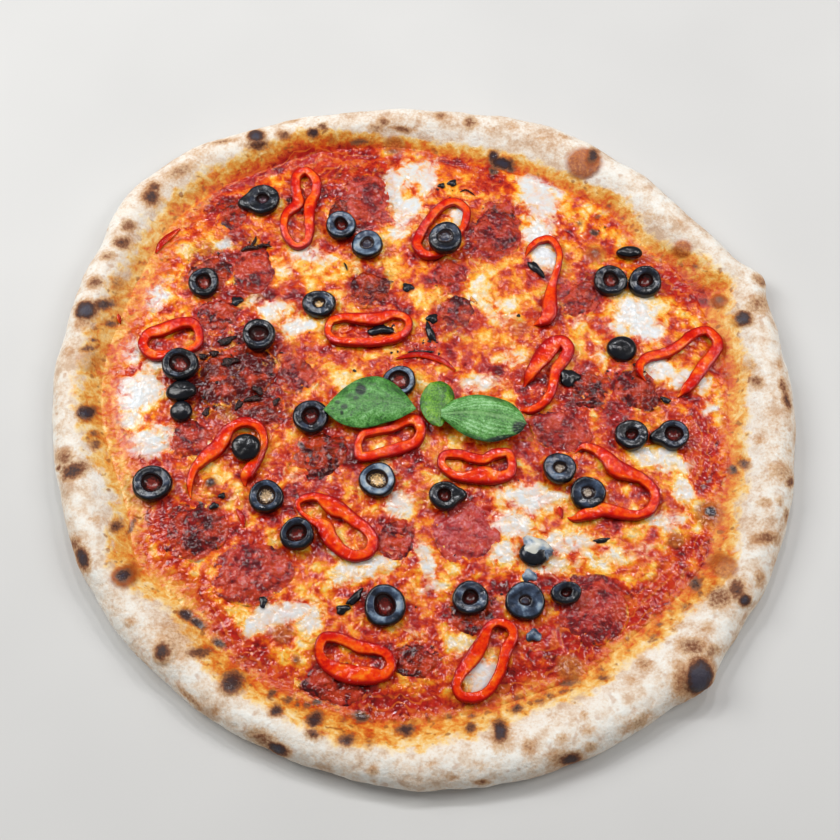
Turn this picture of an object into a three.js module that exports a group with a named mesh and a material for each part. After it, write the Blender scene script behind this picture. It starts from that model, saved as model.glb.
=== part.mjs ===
// A whole baked pizza: a round of dough with a puffed, uneven rim, a bed of sauce and melted
// cheese, pepperoni slices, rings of red pepper and black olive, and three basil leaves.
// Millimetres, +Z up, origin at the middle of the flat underside.
import * as THREE from 'three';

// ---- driving dimensions -------------------------------------------------------------------
const COLUMNS = 60;                 // spokes of the round grid that the dough and bed share
const MIDDLE = [-0.5, 2.5];         // centre from which the radii below are measured
const TO_ORIGIN = [0.55, -2.05];    // brings the middle of the outline's box to the origin
const BASE_THICKNESS = 4.2;         // flat dough under the topping
const GAP = 0.3;                    // clearance between neighbouring solids
const BED_THICKNESS = 2.7;          // sauce and cheese in the middle
const BED_EDGE = 0.7;               // sauce and cheese at its feathered edge
const BED_RELIEF = 0.25;            // hills and hollows of the melted cheese
const RIM_HEIGHT = 14.2;            // mean height of the rim's crest
const RIM_WIDEST = 5.4;             // height at which the rim is widest
const RIM_UNDERCUT = 8.0;           // how far the underside draws in from the outline
const CREST_INSET = 9.5;            // crest of the rim, inwards from the outline
const FOOT_INSET = 6.0;             // foot of the rim's inner slope, inwards from the bed's edge
const UNDERSIDE_INSET = 33;         // inner ring of the underside, inwards from the outline
const BED_SHOULDER = 0.86;          // fraction of the bed's radius where its edge starts to thin
const SLICE_THICKNESS = 1.4;        // pepperoni
const OLIVE_HEIGHT = 4.2;           // cut olive rings
const PEPPER_WALL = 4.0;            // flesh of the red pepper rings
const PEPPER_HEIGHT = 3.4;
const LEAF_THICKNESS = 0.5;
const LEAF_DIP = 1.4;               // droop of a leaf's edges below its midrib
const FINE_FOOTPRINT = 1.5;         // radius of the circles that stand for an olive's edge
const LEAF_FOOTPRINT = 1.2;         // and for a leaf
const FACET_ALLOWANCE = 0.15;       // flat facets rise this much over the curved cheese
const TAIL_SPREAD = 0.38;           // angular half-width of an olive's drawn-out tail, radians

// Radius of the outline, and of the edge of the topping, every 10 degrees from +X round to +Y.
const OUTLINE = [
  161, 162, 163.5, 161, 158.5, 159.5, 160, 161.5, 159.5, 160, 161, 164.5,
  169.5, 175.5, 176.5, 170, 165.5, 163, 160.5, 158, 158, 158, 157.5, 157,
  157.5, 157.5, 159.5, 161, 161.5, 162, 162, 162.5, 162, 161.5, 161, 160.5,
];
const BED_RADIUS = [
  134, 137, 137, 138, 134, 136, 135, 134, 134, 139, 142, 146,
  148, 152, 152, 147, 144, 143, 140, 135, 133, 137, 132, 134,
  136, 136, 137, 136, 133, 132, 133, 132, 134, 136, 134, 134,
];
// Places where the dough stands out or up: angle, angular half-width, reach outwards, lift.
const SWELLINGS = [
  { angle: 24, width: 3.0, reach: 5.5, lift: -1.5 },
  { angle: 60, width: 5.0, reach: 0.3, lift: 1.6 },
  { angle: 137, width: 14.0, reach: 0.0, lift: -1.4 },
  { angle: 200, width: 12.0, reach: 0.0, lift: 0.9 },
  { angle: 255, width: 16.0, reach: 0.0, lift: -1.0 },
  { angle: 313, width: 4.5, reach: 2.6, lift: 1.4 },
  { angle: 345, width: 11.0, reach: 0.0, lift: 0.8 },
];

// ---- looks of the flat-shaded solids ------------------------------------------------------
const LOOKS = {
  crust: { color: 0xeadcc4, roughness: 0.8 },
  cheese: { color: 0xd9802f, roughness: 0.35 },
  pepperoni: { color: 0x93302e, roughness: 0.4 },
  pepper: { color: 0xd93a16, roughness: 0.25 },
  olive: { color: 0x23262e, roughness: 0.3 },
  basil: { color: 0x4f8f3a, roughness: 0.45 },
};

// ---- pieces, placed in mm in the same plane as MIDDLE --------------------------------------
// Pepperoni: centre, radius, stretch along its own long side, turn of that side in degrees.
const SLICES = [
  { at: [-96, -51.5], radius: 14.5, stretch: 1.0, turn: 0 },
  { at: [-71, -69.5], radius: 16.5, stretch: 1.05, turn: 20 },
  { at: [18, -53], radius: 15, stretch: 1.0, turn: 0 },
  { at: [69, -86], radius: 17.5, stretch: 1.05, turn: -15 },
  { at: [-27, 112], radius: 13, stretch: 1.15, turn: 80 },
  { at: [33, 94.5], radius: 14, stretch: 1.12, turn: 80 },
  { at: [-76, 75], radius: 12, stretch: 1.15, turn: 70 },
  { at: [-82, 21], radius: 17, stretch: 1.1, turn: 30 },
  { at: [59, -5], radius: 12.5, stretch: 1.15, turn: -20 },
  { at: [94, 13.5], radius: 11, stretch: 1.1, turn: -30 },
];

// Red pepper rings: points along the middle of the flesh. An open ring has lost a part of its
// wall, or has it sunk in the cheese.
const PEPPERS = [
  { wall: 4.6, path: [[-54, 125.5], [-48.5, 118.5], [-49, 104.5], [-51, 91.5], [-57, 85.5],
    [-63.5, 91.5], [-63, 101.5], [-58.5, 109], [-60.5, 117.5], [-60, 124.5]] },
  { wall: 3.6, path: [[14.5, 109], [20.5, 104.5], [19, 95.5], [13.5, 87], [7, 80.5], [0.5, 80],
    [-3, 86], [-1, 94], [5, 101.5]] },
  { wall: 3.8, open: true, path: [[46, 77], [47, 84], [54, 88.5], [61, 86], [62.5, 77],
    [60, 67], [58.5, 57], [58, 49], [52.5, 44.5]] },
  { wall: 4.4, path: [[-123.5, 34.5], [-121, 40.5], [-113, 44], [-105.5, 46.5], [-99.5, 43.5],
    [-99.5, 36.5], [-104, 31], [-112, 29], [-119.5, 29]] },
  { wall: 4.4, path: [[-41.5, 42.5], [-38, 48], [-31, 49], [-24.5, 46], [-18, 48],
    [-11, 50], [-7, 45.5], [-10.5, 40], [-19, 37], [-30, 36.5], [-38, 38]] },
  { wall: 4.6, path: [[43.5, 3.5], [51, 4.5], [56.5, 11], [59, 20], [63, 29], [62, 37],
    [55.5, 38.5], [50.5, 32.5], [47, 24], [42.5, 15], [40.5, 8]] },
  { wall: 4.4, open: true, path: [[98, 19.5], [95.5, 24], [101, 29.5], [109.5, 33.5], [117, 39.5],
    [124, 43.5], [130, 39.5], [128, 31.5], [122, 23.5], [116, 16], [110, 11.5]] },
  { wall: 4.2, open: true, path: [[-97, -37], [-97, -29], [-93.5, -21.5], [-87.5, -15],
    [-85, -8], [-79.5, -3], [-73, -2.5], [-68, -7], [-68.5, -14.5], [-71.5, -23], [-74, -30]] },
  { wall: 4.0, path: [[-26.5, -19.5], [-17, -17.5], [-7, -14.5], [-0.5, -10], [0, -4],
    [-5.5, -1.5], [-13, -4], [-21, -6.5], [-27.5, -12]] },
  { wall: 4.0, path: [[8.5, -19.5], [12, -16.5], [18, -17], [24.5, -21.5], [31, -17.5],
    [37.5, -17.5], [39, -22.5], [34, -27.5], [25, -29], [15.5, -28.5], [9.5, -24.5]] },
  { wall: 4.8, open: true, path: [[66.5, -19], [70, -15], [76.5, -17], [81, -23.5],
    [88.5, -27], [96, -32], [97.5, -39.5], [91.5, -45], [82, -45.8], [73.5, -46.2],
    [65, -47], [57.5, -43.5]] },
  { wall: 4.8, path: [[-51, -39.5], [-45.5, -37.5], [-37.5, -42], [-28, -48], [-21.5, -55.5],
    [-22.5, -62], [-30, -62.5], [-37.5, -57], [-42.5, -49.5], [-47.5, -44.5]] },
  { wall: 4.8, path: [[-41.5, -102], [-38, -97.5], [-30.5, -98.5], [-24, -102],
    [-16.5, -103], [-12, -108.5], [-16, -113.5], [-24.5, -114.5], [-34, -112], [-40.5, -107]] },
  { wall: 4.6, path: [[32, -92.5], [36, -97.5], [34.5, -105], [30.5, -113], [25.5, -120],
    [17.5, -122], [13, -117.5], [17, -110.5], [22.5, -103.5], [26.5, -96.5]] },
];

// Olives: centre, half-widths, radius of the hole (0 is a cut end), tilt in degrees round an
// axis turned by "turn", and a drawn-out tail towards the angle "tail".
const OLIVES = [
  { at: [-74, 110], half: [7.7, 7.6], hole: 3.3, tail: 190, tailReach: 5.5 },
  { at: [-37.5, 96], half: [7, 7.3], hole: 3 },
  { at: [-25.5, 86], half: [7.2, 7.4], hole: 3 },
  { at: [10, 89], half: [7.6, 8], hole: 3.2 },
  { at: [-98.5, 66], half: [7, 7.2], hole: 3.4 },
  { at: [-46.5, 55], half: [7.7, 6.4], hole: 2.6 },
  { at: [-72.5, 39.5], half: [7.3, 7.8], hole: 3.8 },
  { at: [-106, 24.8], half: [8.2, 7.4], hole: 4.4 },
  { at: [-105, 12.2], half: [6.8, 4.8], hole: 1.6 },
  { at: [-104.5, 2.4], half: [5, 4.7], hole: 0 },
  { at: [-10.5, 15], half: [7.3, 7.1], hole: 4.3 },
  { at: [-48.5, -0.5], half: [7.8, 8], hole: 3.8 },
  { at: [-75.5, -14.5], half: [6.3, 6.1], hole: 0 },
  { at: [-114.5, -31.5], half: [8.6, 8], hole: 4.2 },
  { at: [-66, -37.5], half: [7.4, 7.3], hole: 3.8 },
  { at: [-52.4, -54], half: [7.2, 7], hole: 3.8 },
  { at: [-19.5, -30], half: [7.9, 7.8], hole: 4.2 },
  { at: [8.8, -37], half: [6.6, 6.4], hole: 2.8, tail: 4, tailReach: 3.2 },
  { at: [57.5, -24.5], half: [7.2, 7], hole: 2.6 },
  { at: [69, -36], half: [7.5, 7.3], hole: 2.6 },
  { at: [84, 67], half: [7.6, 7.4], hole: 3.4 },
  { at: [99.5, 66.5], half: [7.4, 7.4], hole: 3.2, tilt: 8, turn: 60 },
  { at: [93.5, 82], half: [6, 2.6], hole: 0, turn: 20 },
  { at: [87.3, 32.8], half: [6.7, 5.9], hole: 0 },
  { at: [89, -9], half: [7.2, 7], hole: 2.6 },
  { at: [107, -9], half: [6.6, 6.9], hole: 3.4, tail: 185, tailReach: 4.0 },
  { at: [-15.8, -85.3], half: [8.6, 8.9], hole: 4.3 },
  { at: [19, -82], half: [7.5, 7.3], hole: 3.2 },
  { at: [41.3, -83.4], half: [8.2, 8.1], hole: 1.6 },
  { at: [46, -62], half: [6, 5.2], hole: 0 },
  { at: [58, -79.8], half: [6.3, 5], hole: 2.2, tilt: 10, turn: 0 },
];

// Basil: points along the midrib from tip to stalk, half-width on either side of it.
const LEAVES = [
  { name: 'basil_left', rib: [[-43, 2], [-33, 3.5], [-23, 5], [-13, 4.5], [-3.5, 2.5]],
    left: [0.6, 8.5, 11.5, 9, 1.2], right: [0.6, 7.5, 10.5, 7.5, 1.2] },
  { name: 'basil_middle', rib: [[10.5, 14], [6.5, 9], [5, 3.5], [5.5, -1.5], [6, -5]],
    left: [2.6, 5.6, 4.6, 4.4, 1.6], right: [2.6, 4.6, 4.8, 4.2, 1.6] },
  { name: 'basil_right', rib: [[45, -4.5], [37.5, -3], [28.5, -1.8], [20.5, -1], [13.5, 0.5]],
    left: [0.6, 9.5, 12.5, 10, 1.4], right: [0.6, 8.4, 9.6, 7.2, 1.4] },
];

// ---- round-grid helpers -------------------------------------------------------------------
const TAU = Math.PI * 2;
const radians = (degrees) => degrees * Math.PI / 180;

// Smooth closed curve through a table of values at equal angles.
function roundTable(table, angle) {
  const n = table.length;
  const place = (((angle / TAU) % 1) + 1) % 1 * n;
  const i = Math.floor(place);
  const t = place - i;
  const [a, b, c, d] = [-1, 0, 1, 2].map((k) => table[(i + k + n) % n]);
  return b + 0.5 * t * (c - a + t * (2 * a - 5 * b + 4 * c - d + t * (3 * (b - c) + d - a)));
}

function swelling(angle, key) {
  let sum = 0;
  for (const bump of SWELLINGS) {
    const off = Math.atan2(Math.sin(angle - radians(bump.angle)), Math.cos(angle - radians(bump.angle)));
    sum += bump[key] * Math.exp(-((off / radians(bump.width)) ** 2));
  }
  return sum;
}

const outlineAt = (angle) => roundTable(OUTLINE, angle) + swelling(angle, 'reach');
const bedRadiusAt = (angle) => roundTable(BED_RADIUS, angle);
const footAt = (angle) => bedRadiusAt(angle) - FOOT_INSET;
const crestAt = (angle) => outlineAt(angle) - CREST_INSET;

function rimHeightAt(angle) {
  const waves = 0.5 * Math.sin(3 * angle + 0.6) + 0.35 * Math.sin(7 * angle + 2.1);
  return RIM_HEIGHT + waves + swelling(angle, 'lift');
}

// Height of the dough's upper face from the middle out to the crest.
function doughTop(radius, angle) {
  const foot = footAt(angle);
  const t = Math.min(1, Math.max(0, (radius - foot) / (crestAt(angle) - foot)));
  return BASE_THICKNESS + (rimHeightAt(angle) - BASE_THICKNESS) * (1 - Math.cos(Math.PI * t)) / 2;
}

// Height of the cheese's upper face.
function bedTop(radius, angle) {
  const edge = bedRadiusAt(angle);
  const t = Math.min(1, Math.max(0, (radius / edge - BED_SHOULDER) / (1 - BED_SHOULDER)));
  const thickness = BED_THICKNESS + (BED_EDGE - BED_THICKNESS) * t * t * (3 - 2 * t);
  const hills = Math.sin(radius * 0.09 + 2 * angle) * Math.cos(radius * 0.05 - 3 * angle);
  return doughTop(radius, angle) + GAP + thickness + BED_RELIEF * hills * (1 - t);
}

function triangleMesh(positions, triangles) {
  const geometry = new THREE.BufferGeometry();
  geometry.setAttribute('position', new THREE.Float32BufferAttribute(positions.flat(), 3));
  geometry.setIndex(triangles.flat());
  geometry.computeVertexNormals();
  return geometry;
}

// Closed round solid. Each row is a function from an angle to a point, and the rows run from the
// centre of the underside outwards, over the edge and back to the centre of the top.
function roundSolid(columns, rows, bottomCentre, topCentre) {
  const positions = [bottomCentre];
  for (const row of rows) {
    for (let c = 0; c < columns; c += 1) positions.push(row(c / columns * TAU));
  }
  positions.push(topCentre);
  const at = (r, c) => 1 + r * columns + (c % columns);
  const last = positions.length - 1;
  const triangles = [];
  for (let c = 0; c < columns; c += 1) {
    triangles.push([0, at(0, c + 1), at(0, c)]);
    for (let r = 0; r + 1 < rows.length; r += 1) {
      const [a, b, d, e] = [at(r, c), at(r, c + 1), at(r + 1, c), at(r + 1, c + 1)];
      const outward = Math.hypot(...positions[d].slice(0, 2)) > Math.hypot(...positions[a].slice(0, 2));
      if (outward) triangles.push([a, b, e], [a, e, d]);
      else triangles.push([a, b, d], [b, e, d]);
    }
    triangles.push([last, at(rows.length - 1, c), at(rows.length - 1, c + 1)]);
  }
  return triangleMesh(positions, triangles);
}

const polar = (radius, angle, z) => [
  MIDDLE[0] + radius * Math.cos(angle), MIDDLE[1] + radius * Math.sin(angle), z,
];

// ---- dough and bed ------------------------------------------------------------------------
function crustGeometry() {
  const rows = [];
  rows.push((a) => polar(outlineAt(a) - UNDERSIDE_INSET, a, 0));
  for (const turn of [-90, -60, -30, 0]) {
    rows.push((a) => polar(
      outlineAt(a) - RIM_UNDERCUT * (1 - Math.cos(radians(turn))),
      a, RIM_WIDEST * (1 + Math.sin(radians(turn)))));
  }
  for (const turn of [30, 60, 90]) {
    rows.push((a) => polar(
      outlineAt(a) - CREST_INSET * (1 - Math.cos(radians(turn))),
      a, RIM_WIDEST + (rimHeightAt(a) - RIM_WIDEST) * Math.sin(radians(turn))));
  }
  for (const part of [0.33, 0.66]) {
    rows.push((a) => {
      const radius = crestAt(a) + (bedRadiusAt(a) - crestAt(a)) * part;
      return polar(radius, a, doughTop(radius, a));
    });
  }
  for (const inset of [0, 0.5, 1]) {
    rows.push((a) => {
      const radius = bedRadiusAt(a) - FOOT_INSET * inset;
      return polar(radius, a, doughTop(radius, a));
    });
  }
  return roundSolid(COLUMNS, rows, polar(0, 0, 0), polar(0, 0, BASE_THICKNESS));
}

function bedGeometry() {
  const parts = [0.4, 0.75];
  const insets = [1, 0.5, 0];
  const rows = [];
  for (const part of parts) {
    rows.push((a) => polar(footAt(a) * part, a, BASE_THICKNESS + GAP));
  }
  for (const inset of insets) {
    rows.push((a) => {
      const radius = bedRadiusAt(a) - FOOT_INSET * inset;
      return polar(radius, a, doughTop(radius, a) + GAP);
    });
  }
  for (const inset of [...insets].reverse()) {
    rows.push((a) => {
      const radius = bedRadiusAt(a) - FOOT_INSET * inset;
      return polar(radius, a, bedTop(radius, a));
    });
  }
  for (const part of [...parts].reverse()) {
    rows.push((a) => polar(footAt(a) * part, a, bedTop(footAt(a) * part, a)));
  }
  return roundSolid(COLUMNS, rows, polar(0, 0, BASE_THICKNESS + GAP), polar(0, 0, bedTop(0, 0)));
}

// ---- what a topping rests on --------------------------------------------------------------
// Every placed topping leaves circles behind, with the height of its top. A later topping rests
// on the highest circle or the highest cheese below it.
const placed = [];

function cheeseUnder(x, y, reach) {
  let top = 0;
  for (let k = 0; k <= 8; k += 1) {
    const dx = k ? reach * Math.cos(k * TAU / 8) : 0;
    const dy = k ? reach * Math.sin(k * TAU / 8) : 0;
    const radius = Math.hypot(x + dx - MIDDLE[0], y + dy - MIDDLE[1]);
    const angle = Math.atan2(y + dy - MIDDLE[1], x + dx - MIDDLE[0]);
    top = Math.max(top, bedTop(Math.min(radius, bedRadiusAt(angle)), angle), doughTop(radius, angle));
  }
  return top + FACET_ALLOWANCE;
}

function restHeight(x, y, reach) {
  let top = cheeseUnder(x, y, reach);
  for (const circle of placed) {
    const near = Math.hypot(x - circle.x, y - circle.y) < reach + circle.reach;
    if (near) top = Math.max(top, circle.top);
  }
  return top + GAP;
}

const restOver = (points, reach) => Math.max(...points.map(([x, y]) => restHeight(x, y, reach)));

function leave(points, reach, top) {
  for (const [x, y] of points) placed.push({ x, y, reach, top });
}

// ---- pepperoni ----------------------------------------------------------------------------
function sliceGeometry(radius, stretch, seed) {
  const edge = (a, inset, z) => {
    const wobble = 1 + 0.035 * Math.sin(2 * a + seed) + 0.03 * Math.sin(5 * a + 2 * seed);
    const r = radius * wobble - inset;
    return [r * stretch * Math.cos(a), r / stretch * Math.sin(a), z];
  };
  const rows = [
    (a) => edge(a, 0.3, 0),
    (a) => edge(a, 0, SLICE_THICKNESS * 0.6),
    (a) => edge(a, 0.9, SLICE_THICKNESS),
  ];
  return roundSolid(16, rows, [0, 0, 0], [0, 0, SLICE_THICKNESS * 0.85]);
}

// ---- rings swept along a path -------------------------------------------------------------
// Section points: sideways and upwards, as fractions of the width and height.
const BARREL = [[0.46, 0], [0.5, 0.5], [0.44, 1], [-0.5, 1], [-0.5, 0]];
const ARCHED = [[0.42, 0], [0.5, 0.55], [0, 1], [-0.5, 0.55], [-0.42, 0]];

function sweep(path, section, widths, height, closed) {
  const n = path.length;
  const m = section.length;
  const positions = [];
  for (let i = 0; i < n; i += 1) {
    const before = path[closed ? (i + n - 1) % n : Math.max(0, i - 1)];
    const after = path[closed ? (i + 1) % n : Math.min(n - 1, i + 1)];
    const length = Math.hypot(after[0] - before[0], after[1] - before[1]);
    const side = [(after[1] - before[1]) / length, -(after[0] - before[0]) / length];
    for (const [across, up] of section) {
      const reach = across * widths[i];
      positions.push([
        path[i][0] + side[0] * reach, path[i][1] + side[1] * reach, path[i][2] + up * height,
      ]);
    }
  }
  const triangles = [];
  for (let i = 0; i < (closed ? n : n - 1); i += 1) {
    for (let j = 0; j < m; j += 1) {
      const [a, b] = [i * m + j, i * m + (j + 1) % m];
      const [c, d] = [((i + 1) % n) * m + j, ((i + 1) % n) * m + (j + 1) % m];
      triangles.push([a, c, b], [b, c, d]);
    }
  }
  for (let j = 1; j + 1 < m && !closed; j += 1) {
    triangles.push([0, j, j + 1]);
    triangles.push([(n - 1) * m, (n - 1) * m + j + 1, (n - 1) * m + j]);
  }
  return triangleMesh(positions, triangles);
}

function pepperGeometry(ring) {
  const corners = ring.path.map(([x, y]) => new THREE.Vector3(x, y, 0));
  const curve = new THREE.CatmullRomCurve3(corners, !ring.open, 'centripetal');
  const count = 18;
  const fine = 4;
  const trace = curve.getSpacedPoints((ring.open ? count - 1 : count) * fine);
  const heights = trace.map((p) => restHeight(p.x, p.y, ring.wall / 2));
  const path = [];
  for (let i = 0; i < count; i += 1) {
    let z = 0;
    for (let k = -fine; k <= fine; k += 1) {
      const place = i * fine + k;
      const near = ring.open ? Math.min(Math.max(place, 0), trace.length - 1)
        : (place + trace.length - 1) % (trace.length - 1);
      z = Math.max(z, heights[near]);
    }
    path.push([trace[i * fine].x, trace[i * fine].y, z]);
  }
  trace.forEach((p, k) => {
    const before = Math.min(count - 1, Math.floor(k / fine));
    const after = ring.open ? Math.min(count - 1, before + 1) : (before + 1) % count;
    leave([[p.x, p.y]], ring.wall / 2, Math.max(path[before][2], path[after][2]) + PEPPER_HEIGHT);
  });
  return sweep(path, ARCHED, path.map(() => ring.wall), PEPPER_HEIGHT, !ring.open);
}

// ---- olives -------------------------------------------------------------------------------
function tailAt(olive, angle) {
  if (olive.tail === undefined) return 0;
  const off = angle - radians(olive.tail);
  const turned = Math.atan2(Math.sin(off), Math.cos(off));
  return olive.tailReach * Math.exp(-((turned / TAIL_SPREAD) ** 2));
}

function oliveRing(olive) {
  const count = 12;
  const path = [];
  const widths = [];
  for (let i = 0; i < count; i += 1) {
    const angle = i / count * TAU;
    const tail = tailAt(olive, angle);
    const [outerX, outerY] = olive.half.map((half) => half + tail);
    const [middleX, middleY] = [(outerX + olive.hole) / 2, (outerY + olive.hole) / 2];
    path.push([middleX * Math.cos(angle), middleY * Math.sin(angle), 0]);
    widths.push(Math.hypot(
      (outerX - olive.hole) * Math.cos(angle), (outerY - olive.hole) * Math.sin(angle)));
  }
  return sweep(path, BARREL, widths, OLIVE_HEIGHT, true);
}

function oliveEnd(olive) {
  const [halfX, halfY] = olive.half;
  const ring = (scale, z) => (a) => [
    halfX * scale * Math.cos(a), halfY * scale * Math.sin(a), z * OLIVE_HEIGHT,
  ];
  const rows = [ring(0.88, 0), ring(1, 0.4), ring(0.9, 0.8), ring(0.5, 1)];
  return roundSolid(12, rows, [0, 0, 0], [0, 0, OLIVE_HEIGHT]);
}

// ---- basil --------------------------------------------------------------------------------
// Cross-section of a leaf: fraction of the half-width, and how far it dips below the midrib.
const LEAF_ACROSS = [[-1, LEAF_DIP], [-0.5, 0.2], [0, 0.5], [0.5, 0.2], [1, LEAF_DIP]];

function leafGeometry(leaf) {
  const stations = 9;
  const rib = new THREE.CatmullRomCurve3(leaf.rib.map(([x, y]) => new THREE.Vector3(x, y, 0)));
  const halfWidth = (table, t) => {
    const place = t * (table.length - 1);
    const i = Math.min(table.length - 2, Math.floor(place));
    const part = (1 - Math.cos((place - i) * Math.PI)) / 2;
    return table[i] * (1 - part) + table[i + 1] * part;
  };
  const grid = [];
  for (let i = 0; i < stations; i += 1) {
    const t = i / (stations - 1);
    const p = rib.getPoint(t);
    const along = rib.getTangent(t);
    for (const [across, dip] of LEAF_ACROSS) {
      const half = halfWidth(across < 0 ? leaf.right : leaf.left, t);
      grid.push([p.x - along.y * across * half, p.y + along.x * across * half, dip]);
    }
  }
  const rest = restOver(grid, LEAF_FOOTPRINT);
  const m = LEAF_ACROSS.length;
  const low = grid.map(([x, y, dip]) => [x, y, rest + LEAF_DIP - dip]);
  const high = low.map(([x, y, z]) => [x, y, z + LEAF_THICKNESS]);
  leave(high, LEAF_FOOTPRINT, rest + LEAF_DIP + LEAF_THICKNESS);
  const positions = [...low, ...high];
  const top = low.length;
  const triangles = [];
  const quad = (a, b, c, d) => triangles.push([a, b, c], [a, c, d]);
  for (let i = 0; i + 1 < stations; i += 1) {
    for (let j = 0; j + 1 < m; j += 1) {
      const k = i * m + j;
      quad(k, k + 1, k + m + 1, k + m);
      quad(top + k, top + k + m, top + k + m + 1, top + k + 1);
    }
    quad(i * m, (i + 1) * m, top + (i + 1) * m, top + i * m);
    quad((i + 2) * m - 1, (i + 1) * m - 1, top + (i + 1) * m - 1, top + (i + 2) * m - 1);
  }
  const end = (stations - 1) * m;
  for (let j = 0; j + 1 < m; j += 1) {
    quad(j + 1, j, top + j, top + j + 1);
    quad(end + j, end + j + 1, top + end + j + 1, top + end + j);
  }
  return triangleMesh(positions, triangles);
}

// ---- assembly -----------------------------------------------------------------------------
const pizza = new THREE.Group();
pizza.name = 'pizza';
pizza.position.set(...TO_ORIGIN, 0);

function add(name, look, geometry) {
  const mesh = new THREE.Mesh(geometry, new THREE.MeshStandardMaterial({ ...LOOKS[look], metalness: 0 }));
  mesh.name = name;
  pizza.add(mesh);
  return mesh;
}

add('crust', 'crust', crustGeometry());
add('sauce_and_cheese', 'cheese', bedGeometry());

SLICES.forEach((slice, index) => {
  const mesh = add(`pepperoni_${index + 1}`, 'pepperoni',
    sliceGeometry(slice.radius, slice.stretch, index + 1));
  const along = slice.radius * (slice.stretch - 1);
  const print = [-1, 0, 1].map((k) => [
    slice.at[0] + k * along * Math.cos(radians(slice.turn)),
    slice.at[1] + k * along * Math.sin(radians(slice.turn)),
  ]);
  const reach = slice.radius * 1.05;
  const z = restOver(print, reach);
  mesh.position.set(slice.at[0], slice.at[1], z);
  mesh.rotation.z = radians(slice.turn);
  leave(print, reach, z + SLICE_THICKNESS);
});

PEPPERS.forEach((ring, index) => {
  add(`red_pepper_${index + 1}`, 'pepper', pepperGeometry(ring));
});

// The outer edge of an olive as a ring of small circles.
function olivePrint(olive, reach) {
  const points = [[olive.at[0], olive.at[1]]];
  for (let angle = 0; angle < TAU; angle += TAU / 24) {
    const tail = tailAt(olive, angle);
    const x = (olive.half[0] + tail - reach) * Math.cos(angle);
    const y = (olive.half[1] + tail - reach) * Math.sin(angle);
    const turn = radians(olive.turn ?? 0);
    points.push([
      olive.at[0] + x * Math.cos(turn) - y * Math.sin(turn),
      olive.at[1] + x * Math.sin(turn) + y * Math.cos(turn),
    ]);
  }
  return points;
}

OLIVES.forEach((olive, index) => {
  const mesh = add(`olive_${index + 1}`, 'olive', olive.hole ? oliveRing(olive) : oliveEnd(olive));
  const print = olivePrint(olive, FINE_FOOTPRINT);
  const lift = olive.half[1] * Math.sin(radians(olive.tilt ?? 0));
  const z = restOver(print, FINE_FOOTPRINT) + lift;
  mesh.position.set(olive.at[0], olive.at[1], z);
  mesh.rotation.z = radians(olive.turn ?? 0);
  mesh.rotation.x = radians(olive.tilt ?? 0);
  leave(print, FINE_FOOTPRINT, z + OLIVE_HEIGHT + lift);
});

LEAVES.forEach((leaf) => {
  add(leaf.name, 'basil', leafGeometry(leaf));
});

export default pizza;
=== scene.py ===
# %% [markdown]
# # A pepperoni pizza
# A round of dough with a puffed, charred rim carries a bed of tomato sauce and melted cheese. On it
# lie pepperoni, rings of red pepper, black olives and three basil leaves. Every surface below is a
# numpy function of two parameters, because baked food is all soft, uneven relief, which is easier
# to write as "height here" than to push about by hand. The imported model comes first: it says where
# each topping is, and each fine piece takes the place of one of its plain solids.

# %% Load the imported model
import math

import bpy
import numpy as np
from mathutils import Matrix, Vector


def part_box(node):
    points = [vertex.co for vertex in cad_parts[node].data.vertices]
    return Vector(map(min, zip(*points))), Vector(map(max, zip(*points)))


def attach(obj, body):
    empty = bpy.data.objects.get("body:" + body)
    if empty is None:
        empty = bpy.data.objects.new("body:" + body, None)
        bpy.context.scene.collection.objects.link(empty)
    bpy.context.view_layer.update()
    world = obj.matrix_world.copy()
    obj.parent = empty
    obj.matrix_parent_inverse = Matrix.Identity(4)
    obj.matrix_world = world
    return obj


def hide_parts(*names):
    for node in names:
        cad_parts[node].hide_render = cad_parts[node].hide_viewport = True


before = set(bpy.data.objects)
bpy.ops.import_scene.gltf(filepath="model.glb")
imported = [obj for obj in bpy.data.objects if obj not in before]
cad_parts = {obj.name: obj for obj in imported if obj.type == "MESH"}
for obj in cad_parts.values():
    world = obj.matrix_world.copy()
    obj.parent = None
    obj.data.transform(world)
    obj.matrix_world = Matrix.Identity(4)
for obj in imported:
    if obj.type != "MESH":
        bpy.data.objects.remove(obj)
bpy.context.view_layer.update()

# %% [markdown]
# ## Units and the reading plane
# Places are written in millimetres, as they were read on a level plane 9 mm above the table,
# looking down at 65 degrees. A point above that plane looks further up the plane than it is, so
# `seen_from_above` slides a point of the pizza to where it was read. Two numbers then bring the
# millimetres to the imported model's own origin.

# %% Units, origin and the reading plane
MM = 0.001
TO_ORIGIN = np.array([0.55, -2.05, 0.0])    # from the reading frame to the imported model, mm
MIDDLE = np.array([-0.5, 2.5])              # the point that the radii are measured from, mm
READING_HEIGHT = 9.0                        # height of the reading plane, mm
VIEW_ELEVATION = math.radians(65)
TAU = 2 * math.pi


def slide(z):
    """How far up the reading plane a height seems to lie: z above it, over the tangent of 65 degrees."""
    return (z - READING_HEIGHT) / math.tan(VIEW_ELEVATION)


def seen_from_above(x, y, z):
    """Where a point was read."""
    return x, y + slide(z)


def polar(x, y):
    """Radius and angle of a point round MIDDLE."""
    return np.hypot(x - MIDDLE[0], y - MIDDLE[1]), np.arctan2(y - MIDDLE[1], x - MIDDLE[0])


def around(count):
    """Equal angles once round, as one row of a grid."""
    return np.linspace(0, TAU, count, endpoint=False)[None, :]


def turned(x, y, degrees):
    """A point turned round the origin, anticlockwise."""
    c, s = math.cos(math.radians(degrees)), math.sin(math.radians(degrees))
    return x * c - y * s, x * s + y * c


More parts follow.
